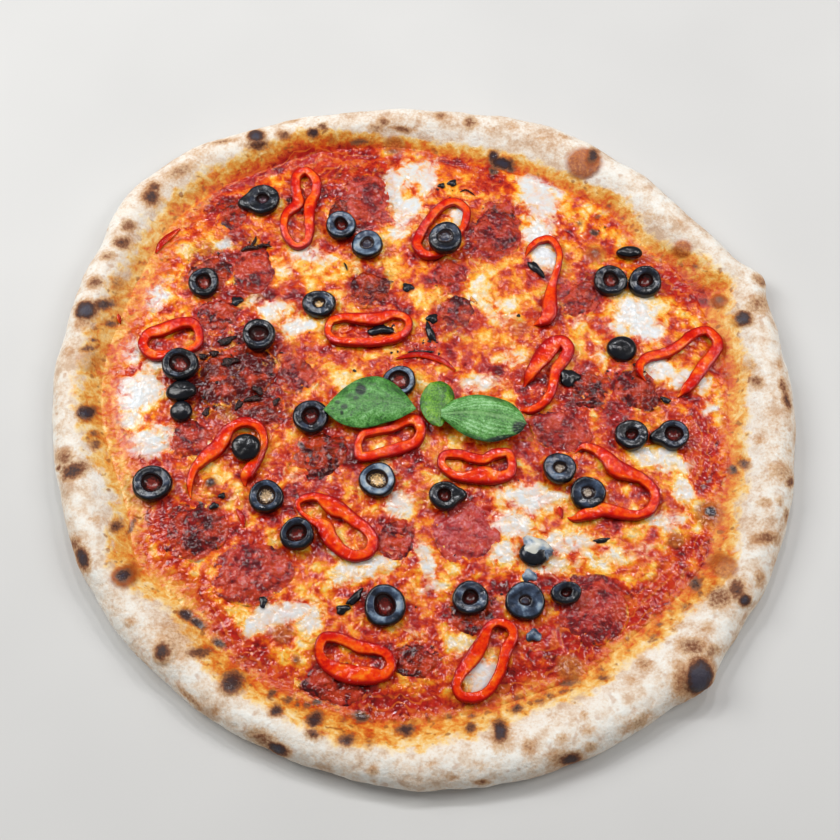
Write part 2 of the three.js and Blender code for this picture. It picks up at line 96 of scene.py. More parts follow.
def angle_from(degrees, angle):
    """Signed angle from a listed direction, between minus pi and pi."""
    return (angle - math.radians(degrees) + math.pi) % TAU - math.pi


# %% [markdown]
# ## Randomness that repeats
# Dough and cheese are uneven at every size. Value noise is the simplest way to get that: every cell
# of a lattice gets a random number, and the numbers are blended smoothly in between. The random
# number comes from the cell's own place and a seed, so each run gives the same pizza.

# %% Value noise
def lattice(column, row, seed):
    """The fraction left of a large sine of the cell's place: a steady random number from 0 to 1."""
    mixed = np.sin(column * 127.1 + row * 311.7 + seed * 74.7) * 43758.5453
    return mixed - np.floor(mixed)


def noise(x, y, size, seed=0):
    """Hills from -1 to 1, size mm apart: a cell's four corner numbers, blended by t*t*(3-2t)."""
    column, row = np.floor(x / size), np.floor(y / size)
    u, v = x / size - column, y / size - row
    u, v = u * u * (3 - 2 * u), v * v * (3 - 2 * v)
    near = lattice(column, row, seed) * (1 - u) + lattice(column + 1, row, seed) * u
    far = lattice(column, row + 1, seed) * (1 - u) + lattice(column + 1, row + 1, seed) * u
    return 2 * (near * (1 - v) + far * v) - 1


def rough(x, y, size, seed=0, octaves=3):
    """Noise on noise: each octave is turned by 0.6 radians, 2.1 times finer and half as high."""
    total, weight = 0.0, 0.0
    for octave in range(octaves):
        turn = 0.6 * (octave + 1)
        across = x * math.cos(turn) - y * math.sin(turn)
        along = x * math.sin(turn) + y * math.cos(turn)
        strength = 0.5 ** octave
        total = total + strength * noise(across, along, size / 2.1 ** octave, seed + 17 * octave)
        weight += strength
    return total / weight


def smooth(low, high, value):
    """0 below low, 1 above high, and t*t*(3-2t) in between."""
    t = np.clip((value - low) / (high - low), 0, 1)
    return t * t * (3 - 2 * t)


print("noise at the middle:", round(float(rough(np.array(0.3), np.array(0.4), 5.0)), 3))

# %% [markdown]
# ## The plan of the pizza
# Hand-stretched dough is never a circle. Its outline and the edge of its topping are each a table of
# radii, one for every 10 degrees, with a smooth closed curve through them. A few swellings and dips
# come on top, such as the pointed tip at the right and the burst bubble at the lower right.

# %% Plan and section of the dough
OUTLINE = np.array([
    161, 162, 163.5, 161, 158.5, 159.5, 160, 161.5, 159.5, 160, 161, 164.5,
    169.5, 175.5, 176.5, 170, 165.5, 163, 160.5, 158, 158, 158, 157.5, 157,
    157.5, 157.5, 159.5, 161, 161.5, 162, 162, 162.5, 162, 161.5, 161, 160.5])
BED_RADIUS = np.array([
    134, 137, 137, 138, 134, 136, 135, 134, 134, 139, 142, 146,
    148, 152, 152, 147, 144, 143, 140, 135, 133, 137, 132, 134,
    136, 136, 137, 136, 133, 132, 133, 132, 134, 136, 134, 134])
WHITE_WIDTH = np.array([    # floury dough, inwards from the outline
    21, 17, 17, 11, 20, 16, 20, 21, 20, 18, 14, 9,
    12, 15, 17, 16, 13, 12, 12, 17, 20, 11, 21, 16,
    14, 14, 13, 17, 21, 23, 22, 25, 21, 16, 20, 20])
GOLD_WIDTH = np.array([10, 14, 9, 7, 10, 20, 17, 16, 11, 12, 11, 10])    # every 30 degrees
SWELLINGS = (     # angle, angular half-width, reach outwards, lift
    (24, 3.0, 5.5, -1.5), (60, 5.0, 0.3, 1.6), (137, 14.0, 0.0, -1.4), (200, 12.0, 0.0, 0.9),
    (255, 16.0, 0.0, -1.0), (313, 4.5, 2.6, 1.4), (345, 11.0, 0.0, 0.8))
HALF_WIDTH, REACH, LIFT = 1, 2, 3    # columns of SWELLINGS
BASE_THICKNESS, BED_THICKNESS, BED_EDGE = 4.2, 3.0, 0.9
RIM_HEIGHT, RIM_WIDEST, RIM_UNDERCUT = 14.2, 5.4, 8.0    # crest, widest level, how far the base is in
CREST_INSET, FOOT_INSET = 9.5, 6.0    # of the crest from the outline, of the rim's foot from the bed's edge


def blended(a, b, c, d, t):
    """Catmull-Rom curve: b at t=0, c at t=1, with slopes set by the points before and after them."""
    return b + 0.5 * t * (c - a + t * (2 * a - 5 * b + 4 * c - d + t * (3 * (b - c) + d - a)))


def round_table(table, angle):
    """Smooth closed curve through values at equal angles."""
    place = (angle / TAU) % 1 * len(table)
    i = np.floor(place).astype(int)
    return blended(*(table[(i + k) % len(table)] for k in (-1, 0, 1, 2)), place - i)


def swelling(angle, column):
    """Sum of bell curves round the rim, one for each swelling."""
    total = 0.0
    for row in SWELLINGS:
        off = angle_from(row[0], angle) / math.radians(row[HALF_WIDTH])
        total = total + row[column] * np.exp(-off ** 2)
    return total


def outline(angle):
    """Radius of the dough: the table, the swellings and a slight unevenness every 12 mm or so."""
    waves = 0.35 * np.sin(23 * angle + 1.0) + 0.25 * np.sin(41 * angle + 4.0)
    return round_table(OUTLINE, angle) + swelling(angle, REACH) + waves


def bed_edge(angle):
    """Radius at which the topping ends."""
    return round_table(BED_RADIUS, angle)


def rim_height(angle):
    """Height of the rim's crest: two slow waves round the rim, and the swellings."""
    waves = 0.5 * np.sin(3 * angle + 0.6) + 0.35 * np.sin(7 * angle + 2.1)
    return RIM_HEIGHT + waves + swelling(angle, LIFT)


def dough_top(radius, angle):
    """The base is flat out to the foot of the rim, then rises to the crest by half a cosine wave."""
    foot = bed_edge(angle) - FOOT_INSET
    crest = outline(angle) - CREST_INSET
    t = np.clip((radius - foot) / (crest - foot), 0, 1)
    return BASE_THICKNESS + (rim_height(angle) - BASE_THICKNESS) * (1 - np.cos(np.pi * t)) / 2


steps = np.linspace(0, TAU, 361)
print("outline radius, mm:", outline(steps).min().round(1), "to", outline(steps).max().round(1))

# %% [markdown]
# ## What lies where
# The oven leaves its marks one by one, so they are listed one by one: where the dough charred, where
# the mozzarella melted into pools, where the sauce shows and where pepperoni has melted into the
# cheese. Each row is an ellipse: its centre, its two half-widths, the turn of the first in degrees,
# and a strength. `cover` turns such a table into a soft mask that any surface can be painted with.

# %% Char on the rim and the edge of the topping
CHAR_AND_RIM_SHADE = np.array([
    (-78, 145, 3.6, 3.6, 0, 1.0), (-77, 140, 6, 3, 0, .62), (-65, 146, 3.5, 2.5, 0, .55),
    (-51.5, 147, 2.8, 2.4, 0, .8), (-47, 150.5, 2.5, 2.2, 0, .6), (-43, 144, 2, 2, 0, .4),
    (-30, 143, 6, 1.8, 5, .55), (-19, 153, 3, 2.5, 0, .55), (-22, 150, 4, 3, 0, .42),
    (-10, 149.5, 6, 1.6, -10, .55), (-14, 138, 3, 1.5, 0, .5), (8, 157, 3, 2.6, 0, .5),
    (22, 153, 3.5, 4.2, 0, .52), (31, 149, 3, 2, 0, .25), (42, 151, 3, 4, 0, .28),
    (-94, 142, 7, 1.6, 12, .42), (-62, 154, 4, 1.5, 10, .35), (-105, 136, 4, 3, 0, .25),
    (-112, 126, 9, 3.6, 32, .42), (-125, 112, 3.8, 5, 10, .72), (-124, 117, 3.4, 3, 0, .6),
    (-134, 96, 3.5, 3.5, 0, .55), (-136, 87, 4.5, 3.5, 0, .6), (-142, 80, 4, 2.8, 0, .45),
    (-146, 66, 3.5, 3.3, 0, .55), (-137, 66, 3, 4.5, 0, .42), (-149, 52, 4.4, 4.4, 0, 1.0),
    (-142, 55, 5, 3.2, 20, .68), (-150, 45, 5, 4, 0, .36), (-139, 46, 3, 2, 0, .6),
    (-145, 37, 1.6, 1, 0, .7), (-147, 33, 3.8, 1.4, 10, .55), (-155, 32, 3, 3, 0, .25),
    (-145, 2, 3.4, 3.4, 0, .92), (-157, 6, 3, 3, 0, .2), (-140, -13, 2.6, 2.6, 0, .55),
    (-141, -8, 2, 2, 0, .55), (-147, -25, 6, 4, 30, .7), (-152, -19, 5, 4, 0, .5),
    (-154, -24, 1.6, 1.6, 0, .6), (-135, -47, 3, 2, 0, .3), (-128, -50, 2.8, 2.8, 0, .6),
    (-122, -50, 1.5, 4.5, -20, .62), (-140, -64, 3.0, 5.4, 20, .86), (-144, -58, 3.5, 3.5, 0, .48),
    (-122, -71.5, 3.2, 3.0, 0, .86), (-118, -91, 3, 2.6, 0, .32), (-104, -103, 3.4, 4.4, 0, .74),
    (-100, -99, 10, 8, -40, .34), (-97, -89, 3.6, 2.4, -30, .84), (-92, -92.5, 4, 2, -35, .84),
    (-90, -104, 5, 2.4, 0, .62), (-83, -101, 3, 1.8, -30, .75), (-76, -116, 4.6, 4.4, 0, .76),
    (-92, -123, 7, 1.7, -45, .42), (-82, -128, 2.5, 2.5, 0, .3), (-58, -127.5, 2.6, 2.4, 0, .75),
    (-60, -121.5, 2, 1.8, 0, .6), (-53.5, -124, 1.8, 1.5, 0, .6), (-50.5, -126, 1.1, 1, 0, .6),
    (-46.5, -126.5, 1.9, 1.5, 0, .6), (-42.5, -125.5, 2.1, 1.3, 0, .7), (-51.5, -107.5, 1.7, 1.6, 0, .6),
    (-57, -143, 4.2, 2.8, -20, .95), (-63, -139, 7, 4, -30, .5), (-43, -131, 3, 2.6, 0, .78),
    (-43, -136, 3, 2.6, 0, .62), (-30, -138.5, 3.6, 2.6, 0, .66), (-25, -131, 3.8, 2.3, 0, .74),
    (-21, -139.5, 2.4, 3, 0, .4), (-32, -132, 2, 2, 0, .45), (-20.5, -133, 1.4, 1.2, 0, .5),
    (-4, -133, 1.8, 1.2, 0, .35), (19, -131.2, 2.0, 1.2, 0, .52), (37, -123.7, 2.4, 1.3, 20, .55),
    (46, -124.5, 3.2, 1.3, 10, .5), (50, -122.5, 2.8, 1.3, 0, .5), (56, -121, 3.2, .9, 15, .5),
    (71.5, -115, 2.6, 1.4, 15, .55), (71.5, -112, 1.6, 1.0, 10, .5), (96, -93, 1.7, 1.1, 20, .55),
    (101, -88, 1.2, 1.6, 0, .4), (106.5, -85.5, 2.2, 1.3, 35, .5), (93, -98, 2.8, 1.2, 40, .5),
    # from (152, -5) to (-60, 150), seven broad faint rows tan the right and far side of the rim: partly
    # toasting, partly painted shade
    (113, -80, 2.4, 1.3, 50, .5), (100.5, -95, 1.2, .8, 20, .5), (152, -5, 8, 26, 0, .16),
    (145, -50, 10, 14, -30, .15), (146, 60, 9, 12, 30, .10), (120, 100, 15, 8, -35, .07),
    (0, 156, 40, 5, 0, .17), (60, 142, 18, 6, -25, .17), (-60, 150, 26, 5, 15, .14),
    (-7, -136, 4.2, 2.2, 0, .72), (-40, -150, 3, 2, 0, .25), (-20, -151, 2.3, 2.2, 0, .4),
    (3, -148, 3, 2, 0, .25), (10, -131, 2, 1.5, 0, .5), (10, -153, 3, 2, 0, .3),
    (18.5, -135, 2.6, 1.9, 0, .66), (22, -149, 3, 2, 0, .25), (22, -156, 3, 1.5, 0, .5),
    (30, -135.5, 3.0, 4.0, 0, .88), (30, -138, 5, 6, 0, .36), (37, -128, 2.8, 1.5, 15, .66),
    (41, -141, 2.7, 3.4, 0, .4), (54, -138, 3, 2.5, 0, .34), (57, -147, 4.5, 3.2, 0, .8),
    (53, -146, 5.5, 4, 0, .4), (58, -117.5, 4.5, 1.6, 10, .6), (63, -129, 2, 2, 0, .34),
    (64, -135, 3, 2.5, 0, .3), (65, -142, 3, 2.2, 0, .4), (85, -132, 6, 3.4, 40, .38),
    (82, -115, 3, 2, 0, .3), (88, -109, 2.8, 2.8, 0, .4), (88, -109, 3, 2.2, 0, .2),
    (103, -92.5, 3.2, 1.9, 0, .3), (107, -101, 6, 4, 0, .52), (109, -113.5, 5.0, 7.2, 0, 1.15),
    (103, -115, 6, 9, 0, .46), (115, -103, 4, 3, 0, .45), (114, -93, 3.5, 3, 0, .3),
    (112, -76, 2.4, 4, -20, .7), (127, -77, 3.6, 5.2, -20, .62), (130, -82, 2.6, 2.6, 0, .95),
    (120, -81, 6, 5, 30, .52), (124, -65, 4, 2, 0, .35), (137, -73, 2.4, 3.6, 0, .42),
    (105, -56, 2.2, 1.8, 0, .25), (120.3, -44.4, 2.5, 2.3, 0, 1.0), (141, -55, 6, 3, 0, .52),
    (142, -39, 3.4, 2.4, 0, .36), (148, -39, 2.4, 2.4, 0, .36), (151, -45, 1.8, 3.6, 0, .5),
    (132, -25, 1.8, 2.8, 0, .68), (136, -22, 2.6, 2.6, 0, .62), (143, -11, 3, 2.5, 0, .3),
    (150, -25, 6, 5.5, 0, .38), (154, -30, 2.6, 2.6, 0, .6), (155, -16, 2, 2, 0, .3),
    (144, 17, 2.8, 3.8, 0, .52), (155, 15, 2, 4, 0, .58), (156, 8, 2.2, 5, 10, .64),
    (155, 25, 1.8, 4.5, 0, .35), (142, 24, 4.5, 3.5, 0, .34), (133, 20, 2, 2, 0, .4),
    (141, 48, 3.4, 3.4, 0, .92), (148, 55, 8, 5, 30, .42), (132, 57.5, 2.4, 2.4, 0, .56),
    (123, 74.5, 2, 1.4, 0, .5), (150, 68, 4, 3, -40, .4), (152, 66, 3, 2, 0, .5),
    (104, 101, 3.5, 5, 40, .28), (117, 98, 2, 2, 0, .24), (78.5, 133.5, 2.6, 5, -15, .78),
    (66, 145, 3.5, 1.4, -30, .34), (56, 143, 5, 3.5, 0, .24), (37, 131.5, 5.6, 2.8, -10, 1.0),
    (33, 135, 2.6, 3, 0, .9), (33, 127.5, 2.6, 2.4, 0, .72), (41, 129, 2.6, 2.6, 0, .72),
    (78.5, 93.5, 2.0, 2.0, 0, .8), (72, 98, 1.7, 1.7, 0, .5), (80, 102, 1.8, 1.6, 0, .6),
    (86, 108, 1.5, 1.4, 0, .5), (92, 101, 1.4, 1.2, 0, .5), (70, 105, 1.4, 1.2, 0, .4),
    (78, 82, 3.0, 2.6, 0, .5), (-90, -31, 2.2, 2.2, 0, .85)])
BUBBLES = np.array([   # centre, radius, height, and how orange-brown its skin is
    (74.5, 130, 7.8, 2.4, .75), (109, -113, 7.2, 2.4, .0), (-14, 141, 5.4, 1.4, .5),
    (-146, 27, 5.0, 1.0, .3), (123, -67, 5.4, 1.6, .55), (117, 84, 4.4, 1.4, .62),
    (58.5, -111.5, 5.4, 1.4, .6), (-149, 52, 5.2, 1.4, .0), (-122, -71.5, 5.2, 1.4, .6),
    (-76, -116, 5.6, 1.2, .0), (132, 57, 3.8, 1.0, .75), (141, 48, 4.4, 1.1, .0), (-145, 2, 4.0, 0.9, .0),
    (130, -80, 5.4, 1.1, .0), (120, -44.8, 6.0, 1.1, .6), (-78, 144, 5.0, 1.2, .0), (37, 131, 6.0, 1.0, .0),
    (78, 82, 5.0, 1.0, .45), (-90, -31, 3.6, 0.9, .2), (-57, -96.5, 4.2, 0.9, .5),
    (-51.5, -107.5, 2.2, 0.5, .3), (42, 44, 4.6, 0.8, .3), (30, -136, 4.6, 1.0, .0),
    (-104, -103, 6.0, 1.0, .0), (-43, -133, 4.6, 0.9, .0), (105, -56.5, 3.4, 1.0, .8)])
print(len(CHAR_AND_RIM_SHADE), "charred places and", len(BUBBLES), "bubbles")

# %% Mozzarella, sauce and melted pepperoni
MOZZARELLA = np.array([
    (54, 112, 8.5, 16, 5, 1.0), (53, 92, 7, 8, 0, .95), (55, 80, 6.5, 7, 0, .95), (57, 124, 7, 6, 0, .95),
    (-6, 126, 7, 8, 0, .8), (-14, 115, 4.5, 13, 4, .9), (-8, 104, 8, 8, 0, .8), (2, 122, 5, 11, -8, .75),
    (-12, 94, 5, 6, 0, .7), (-122, 60, 8, 7, 20, 1.0), (-121, 68, 6, 4, 0, .6), (-131, 33, 7, 6, 0, .85),
    (-125, 12, 11, 9, 20, 1.0), (-118, 25, 6, 5, 0, .7), (-128, -1, 8, 5, 0, .7),
    (-120, -14, 11, 6, 10, .9), (-112, -8, 7, 5, 0, .7), (95, 51, 9, 8, 0, 1.0), (100, 42, 8, 5, 0, .95),
    (88, 44, 5, 4, 0, .7), (-58, -88, 14, 4.5, 12, .95), (-68, -94, 6, 5, 0, .8), (-46, -94, 6, 5, 0, .75),
    (45, -38, 13, 7, -10, .8), (38, -50, 10, 6, -20, .8), (33, -62, 7, 5, 0, .8), (60, -58, 12, 5, 0, .7),
    (52, -67, 8, 4, 0, .6), (24, -114, 5.5, 8, -35, 1.0), (104, 23, 6, 6, 0, .85), (112, 18, 6, 4, 30, .8),
    (98, 22, 4, 4, 0, .6), (100, -20, 13, 4.5, -12, .7), (102, -48, 8, 5, 0, .7), (110, -34, 4.5, 7, 0, .8),
    (122, 14, 3, 5, -30, .75), (125, 4, 4.5, 2, 30, .8), (-25, -69, 14, 6, 15, .7), (-34, -60, 5, 4, 0, .5),
    (-10, -40, 6, 6, 0, .75), (0, -66, 3.5, 11, 10, .75), (3, -78, 5, 3, 0, .6), (-54, 82, 7, 5, 10, .7),
    (-46, 78, 6, 3, 0, .5), (-62, 74, 4, 4, 0, .5), (-90, 87, 4, 3.5, 0, .75), (-66, 53, 8, 5, 20, .75),
    (-58, 45, 6, 5, 0, .7), (-76, 58, 4, 4, 0, .5), (35, 52, 8, 7, 0, .45), (26, 60, 5, 7, 0, .4),
    (25, 16, 10, 5, 10, .65), (40, 30, 8, 6, 20, .4), (-52, 44, 4, 3, 0, .8), (80, -64, 9, 4, -10, .5),
    (70, -66, 8, 4, 0, .5), (92, -62, 6, 4, 0, .4), (14, -102, 5, 5, 0, .4), (-5, -98, 4, 8, 20, .3),
    (56, -37, 5, 3, 0, .8), (-14, -22, 5, 3, 0, .3), (-90, -16, 5, 5, 0, .3), (-55, -28, 6, 4, 0, .35),
    (16, 104, 4, 4, 0, .8), (12, 98, 3, 3, 0, .6), (-30, 76, 4, 3, 20, .4), (-36, 62, 4, 4, 0, .4),
    (78, 30, 4, 6, 0, .4), (70, 46, 6, 5, 0, .4), (-100, 30, 3, 3, 0, .5)])
SAUCE = np.array([
    (-45, 132, 20, 8, 6, 1.0), (-80, 126, 12, 7, 35, .9), (-58, 135, 12, 6, 20, .85),
    (-18, 128, 6, 9, 0, .7), (-95, 112, 9, 8, 40, .5), (115, 68, 11, 8, -30, .95), (104, 76, 8, 4, -20, .8),
    (120, -12, 6, 14, 0, .95), (118, -24, 6, 7, 10, .9), (116, -61, 4.5, 6, 0, .85),
    (98, -76, 14, 6, 45, .85), (86, -92, 14, 9, 40, 1.0), (66, -106, 16, 7, 20, .9),
    (50, -100, 12, 9, 20, .8), (38, -118, 16, 6, 12, .9), (-8, -126, 16, 4.5, 0, .95),
    (-34, -120, 18, 6, -12, .85), (-62, -114, 12, 5, -30, .75), (-72, -104, 14, 5, -48, .85),
    (-84, -92, 13, 4.5, -50, .95), (-128, 71, 6, 3, 20, .8), (-114, -22, 8, 5, -30, .7),
    (-116, -44, 5, 9, 20, .6), (-100, 100, 8, 6, 0, .5), (8, 133, 12, 4, -5, .5), (24, 126, 8, 4, 0, .45),
    (72, 70, 6, 6, 0, .5), (-62, 62, 5, 4, 0, .3), (-102, 105, 9, 3, 30, .7), (0, -8, 10, 5, 10, .35),
    (76, -104, 10, 8, 30, .8)])
MEAT = np.array([    # pepperoni that has melted or crumbled into the cheese
    (12, 72, 9.5, 8, 20, .9), (14, 52, 8.5, 13, 0, .95), (-24, 66, 10, 11, -20, .9),
    (72, 62, 9, 12, 20, .8), (-43, -17, 14, 13, 20, .7), (-4, -109, 11, 10, 0, .75),
    (-12, -56, 10, 12, 20, .65), (-100, -8, 12, 10, 30, .75), (-36, -118, 16, 6, -12, .7),
    (19, -90, 12, 9, 0, .6), (73, 13, 11, 12, 0, .65), (-3, -22, 9, 6, 0, .6), (-88, 103, 8, 11, 20, .6),
    (-93, 76, 13, 9, 20, .8), (-92, 52, 12, 8, 0, .8), (-78, 60, 9, 7, -30, .5), (-85, 22, 24, 18, 20, .95),
    (-72, 4, 14, 9, 0, .6), (-55, 22, 12, 12, 0, .5), (-96, -34, 9, 7, 0, .5), (-112, -50, 7, 10, 0, .5),
    (-58, 112, 7, 14, 0, .55), (-38, 112, 9, 13, 0, .7), (-24, 104, 10, 12, 0, .7), (36, 104, 9, 9, 0, .8),
    (30, 84, 10, 8, 0, .7), (0, 30, 16, 5, -5, .45), (-40, 30, 10, 6, 0, .4), (54, -8, 16, 9, 10, .6),
    (84, -2, 9, 8, 0, .4), (18, -40, 10, 7, 0, .5), (60, 60, 6, 10, 0, .5), (92, 4, 10, 7, 0, .5),
    (88, 22, 6, 8, 0, .6), (68, -88, 9, 10, 30, .4), (60, -70, 6, 6, 0, .3), (-82, 40, 10, 6, 10, .8),
    (-100, 40, 8, 6, 0, .4), (26, -30, 12, 6, 0, .3), (82, -52, 10, 5, -10, .45), (-56, 62, 6, 5, 0, .4),
    (10, 12, 6, 4, 0, .4)])
SCORCHED = np.array([    # where the meat has dried nearly black
    (-82, 20, 22, 20, 20, 1.0), (-70, 4, 12, 7, 0, .8), (-24, 66, 9, 9, 0, .55), (13, 50, 7, 12, 0, .45),
    (-98, 78, 9, 9, 0, .5), (97, 12, 9, 6, -30, .6), (-27, 112, 11, 12, 0, .4), (60, -5, 8, 8, 0, .35),
    (-76, 62, 9, 5, 0, .4), (-83, 88, 10, 4, 0, .5), (-85, -37, 5, 3, 0, .5)])
YELLOW = np.array([    # places where the fat of the cheese baked golden
    (22, 64, 13, 9, 20, .9), (38, 62, 9, 7, 0, .8), (-44, 72, 14, 6, 10, .8), (-15, 84, 5, 14, 0, .7),
    (0, 60, 8, 6, 0, .8), (80, 106, 11, 13, 20, .8), (88, 92, 9, 9, 0, .8), (70, 118, 6, 8, 0, .8),
    (84, 52, 8, 7, 0, .8), (70, 38, 8, 6, 0, .6), (-76, -4, 8, 5, 0, .5), (-66, -18, 6, 8, 0, .6),
    (-90, -31, 9, 9, 0, .9), (-36, -70, 16, 6, 10, .6), (-50, -76, 12, 5, 0, .7), (10, -68, 5, 9, 0, .8),
    (70, -52, 12, 8, 0, .5), (90, -56, 12, 8, 0, .5), (84, -70, 16, 5, -12, .7), (110, -24, 7, 6, 0, .7),
    (90, -20, 14, 5, 0, .6), (-34, 20, 9, 7, 0, .8), (-38, 8, 6, 5, 0, .7), (-20, 30, 8, 4, 0, .3),
    (96, 60, 12, 5, -10, .6), (108, 52, 8, 6, 0, .6), (-100, 90, 8, 8, 0, .6), (-112, 78, 9, 12, 20, .7),
    (-104, 54, 8, 6, 0, .6), (-120, 46, 8, 5, 0, .6), (10, -14, 6, 5, 0, .3), (28, 112, 8, 6, 0, .7),
    (20, 118, 10, 6, 0, .6), (16, -98, 10, 6, 10, .7), (2, -88, 4, 10, 0, .5), (119, -46, 7.5, 9.5, 0, .95),
    (127, -58, 4, 12, 10, .8), (115, 47, 8, 7, 0, .8), (95, -72, 10, 4, 10, .6), (132, -8, 5, 22, 0, .6),
    (133, 34, 5, 12, 0, .5), (-54, -104, 9, 6, 0, .8)])
print(len(MOZZARELLA), "pools,", len(SAUCE), "sauce,", len(MEAT), "melted slices,", len(YELLOW), "golden")


# %% Masks from the tables
def strongest(x, y, table, fade):
    """The strongest row at each point: its strength times fade(q). q is the distance from the
    middle of the row's ellipse, as a share of the way to its edge."""
    result = np.zeros_like(x)
    for centre_x, centre_y, half_x, half_y, turn, strength in table:
        across, along = turned(x - centre_x, y - centre_y, -turn)
        result = np.maximum(result, strength * fade(np.hypot(across / half_x, along / half_y)))
    return result


def cover(x, y, table, soft=0.5):
    """Ellipses that count fully below q = 1-soft/2 and not at all above 1+soft/2."""
    return strongest(x, y, table, lambda q: 1 - smooth(1 - soft / 2, 1 + soft / 2, q))


def glow(x, y, table):
    """Spots that fade slowly, by exp of minus 0.66 times q to the power 2.4."""
    return strongest(x, y, table, lambda q: np.exp(-0.66 * np.minimum(q, 6) ** 2.4))


def strayed(x, y, size, reach, seed):
    """The same places moved about by noise, which makes round masks ragged."""
    return x + reach * rough(x, y, size, seed), y + reach * rough(x, y, size, seed + 5)


def masks(x, y, z):
    """What each point is painted with, as masks from 0 to 1, by where it was read in the picture."""
    x, y = seen_from_above(x, y, z)
    radius, angle = polar(x, y)
    inward = outline(angle) - round_table(WHITE_WIDTH, angle) - radius + 1.5 * rough(x, y, 8.0, 3)
    wide, near = strayed(x, y, 6.0, 3.4, 11), strayed(x, y, 3.2, 0.9, 23)
    bubble_skin = np.column_stack([BUBBLES[:, [0, 1, 2, 2]], np.zeros(len(BUBBLES)), BUBBLES[:, 4]])
    return {
        "char": glow(*near, CHAR_AND_RIM_SHADE), "blister": cover(*near, bubble_skin, 0.6),
        "mozzarella": cover(*wide, MOZZARELLA, 1.2), "sauce": cover(*wide, SAUCE, 1.0),
        "meat": cover(*wide, MEAT, 0.9), "scorch": cover(*wide, SCORCHED, 1.2),
        "yellow": cover(*wide, YELLOW, 1.4),
        "depth": np.clip(inward / round_table(GOLD_WIDTH, angle), -1, 2)}


def bubble_relief(x, y):
    """Domes: height times the square root of 1-q*q inside each bubble's circle."""
    total = np.zeros_like(x)
    for centre_x, centre_y, radius, height, _ in BUBBLES:
        q = np.hypot(x - centre_x, y - centre_y) / radius
        total = np.maximum(total, height * np.sqrt(np.clip(1 - q * q, 0, 1)))
    return total


# %% [markdown]
# ## From a grid of points to a piece
# A grid of points becomes a mesh in three steps: number the four corners of each cell, close the
# ends, and write everything at once. Whole arrays are handed to Blender, because a Python loop over
# a hundred thousand points would take minutes. The sign of the enclosed volume shows whether the
# faces point outwards, and turns them round if they don't.

# %% Mesh helpers
def grid_quads(rows, columns, wrap=True):
    """Corner numbers of the cells of a grid of points, joined round the columns if it wraps."""
    r, c = np.meshgrid(np.arange(rows - 1), np.arange(columns if wrap else columns - 1), indexing="ij")
    after = (c + 1) % columns
    corners = [r * columns + c, r * columns + after, (r + 1) * columns + after, (r + 1) * columns + c]
    return np.stack(corners, -1).reshape(-1, 4)


def fan(ring, centre):
    """Triangles from one point to each step of a closed ring of points."""
    return np.stack([np.full(len(ring), centre), ring, np.roll(ring, -1)], -1)


def volume(points, quads, triangles):
    """Enclosed volume: a sixth of the sum of a.(b x c) over all triangles."""
    parts = np.concatenate([quads[:, [0, 1, 2]], quads[:, [0, 2, 3]], triangles])
    a, b, c = (points[parts[:, k]] for k in range(3))
    return np.einsum("ij,ij->", a, np.cross(b, c)) / 6


def in_scene(name, data):
    """A new object of a mesh, lamp or camera, put in the scene."""
    made = bpy.data.objects.new(name, data)
    bpy.context.scene.collection.objects.link(made)
    return made


def make_piece(name, points, quads, triangles, paint, material, slot, *nodes):
    """A mesh object on body root, in place of the listed nodes. Its points are in mm in the reading
    frame, and paint is a mask for each point."""
    quads, triangles = np.asarray(quads).reshape(-1, 4), np.asarray(triangles).reshape(-1, 3)
    if volume(points, quads, triangles) < 0:
        quads, triangles = quads[:, ::-1], triangles[:, ::-1]
    mesh = bpy.data.meshes.new(name)
    mesh.from_pydata(((points + TO_ORIGIN) * MM).tolist(), [], quads.tolist() + triangles.tolist())
    mesh.shade_smooth()
    for label, values in paint.items():
        attribute = mesh.attributes.new(label, "FLOAT", "POINT")
        attribute.data.foreach_set("value", np.asarray(values, np.float32).ravel())
    mesh.materials.append(material)
    piece = in_scene(name, mesh)
    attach(piece, "root")
    if nodes:
        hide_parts(*nodes)
    return piece


def revolve(rings, low_pole=None, high_pole=None):
    """Points and faces of a closed body made of rings. Each end closes on a pole, by default the
    middle of its ring."""
    rows, columns = rings.shape[:2]
    low_pole = rings[0].mean(0) if low_pole is None else low_pole
    high_pole = rings[-1].mean(0) if high_pole is None else high_pole
    points = np.concatenate([rings.reshape(-1, 3), [low_pole, high_pole]])
    ends = [fan(np.arange(columns)[::-1], rows * columns),
            fan(np.arange(columns) + (rows - 1) * columns, rows * columns + 1)]
    return points, grid_quads(rows, columns), np.concatenate(ends)


def with_poles(values, low=0.0, high=0.0):
    """A mask on a grid of rings, followed by its values at the two poles."""
    return np.append(values.ravel(), [low, high])


def joined(parts):
    """Several (points, quads, triangles, paint) bodies as one."""
    points, quads, triangles, paints = zip(*parts)
    start = np.cumsum([0] + [len(body) for body in points[:-1]])
    return (np.concatenate(points),
            np.concatenate([faces + first for faces, first in zip(quads, start)]),
            np.concatenate([faces + first for faces, first in zip(triangles, start)]),
            {label: np.concatenate([paint[label] for paint in paints]) for label in paints[0]})


# %% [markdown]
# ## Material helpers
# Colours are given as screen values from 0 to 255, and shaders want light values, so `seen`
# undoes the screen's curve. `fill` is the one place where sockets are set: each takes a number or
# colour, or a link from another node's output.

# %% Node helpers
def seen(red, green, blue):
    """Light values of a colour seen on a screen: the sRGB curve undone, with full opacity."""
    shares = [value / 255 for value in (red, green, blue)]
    linear = [v / 12.92 if v <= 0.04045 else ((v + 0.055) / 1.055) ** 2.4 for v in shares]
    return (*linear, 1.0)


def fill(tree, sockets, values):
    """Sets each named or numbered socket to its value, or links it to the output that is given."""
    for name, value in values.items():
        if isinstance(value, bpy.types.NodeSocket):
            tree.links.new(value, sockets[name])
        else:
            sockets[name].default_value = value


def connect(tree, sockets, **values):
    """The same for sockets that are named in words, with _ for spaces."""
    fill(tree, sockets, {name.replace("_", " "): value for name, value in values.items()})


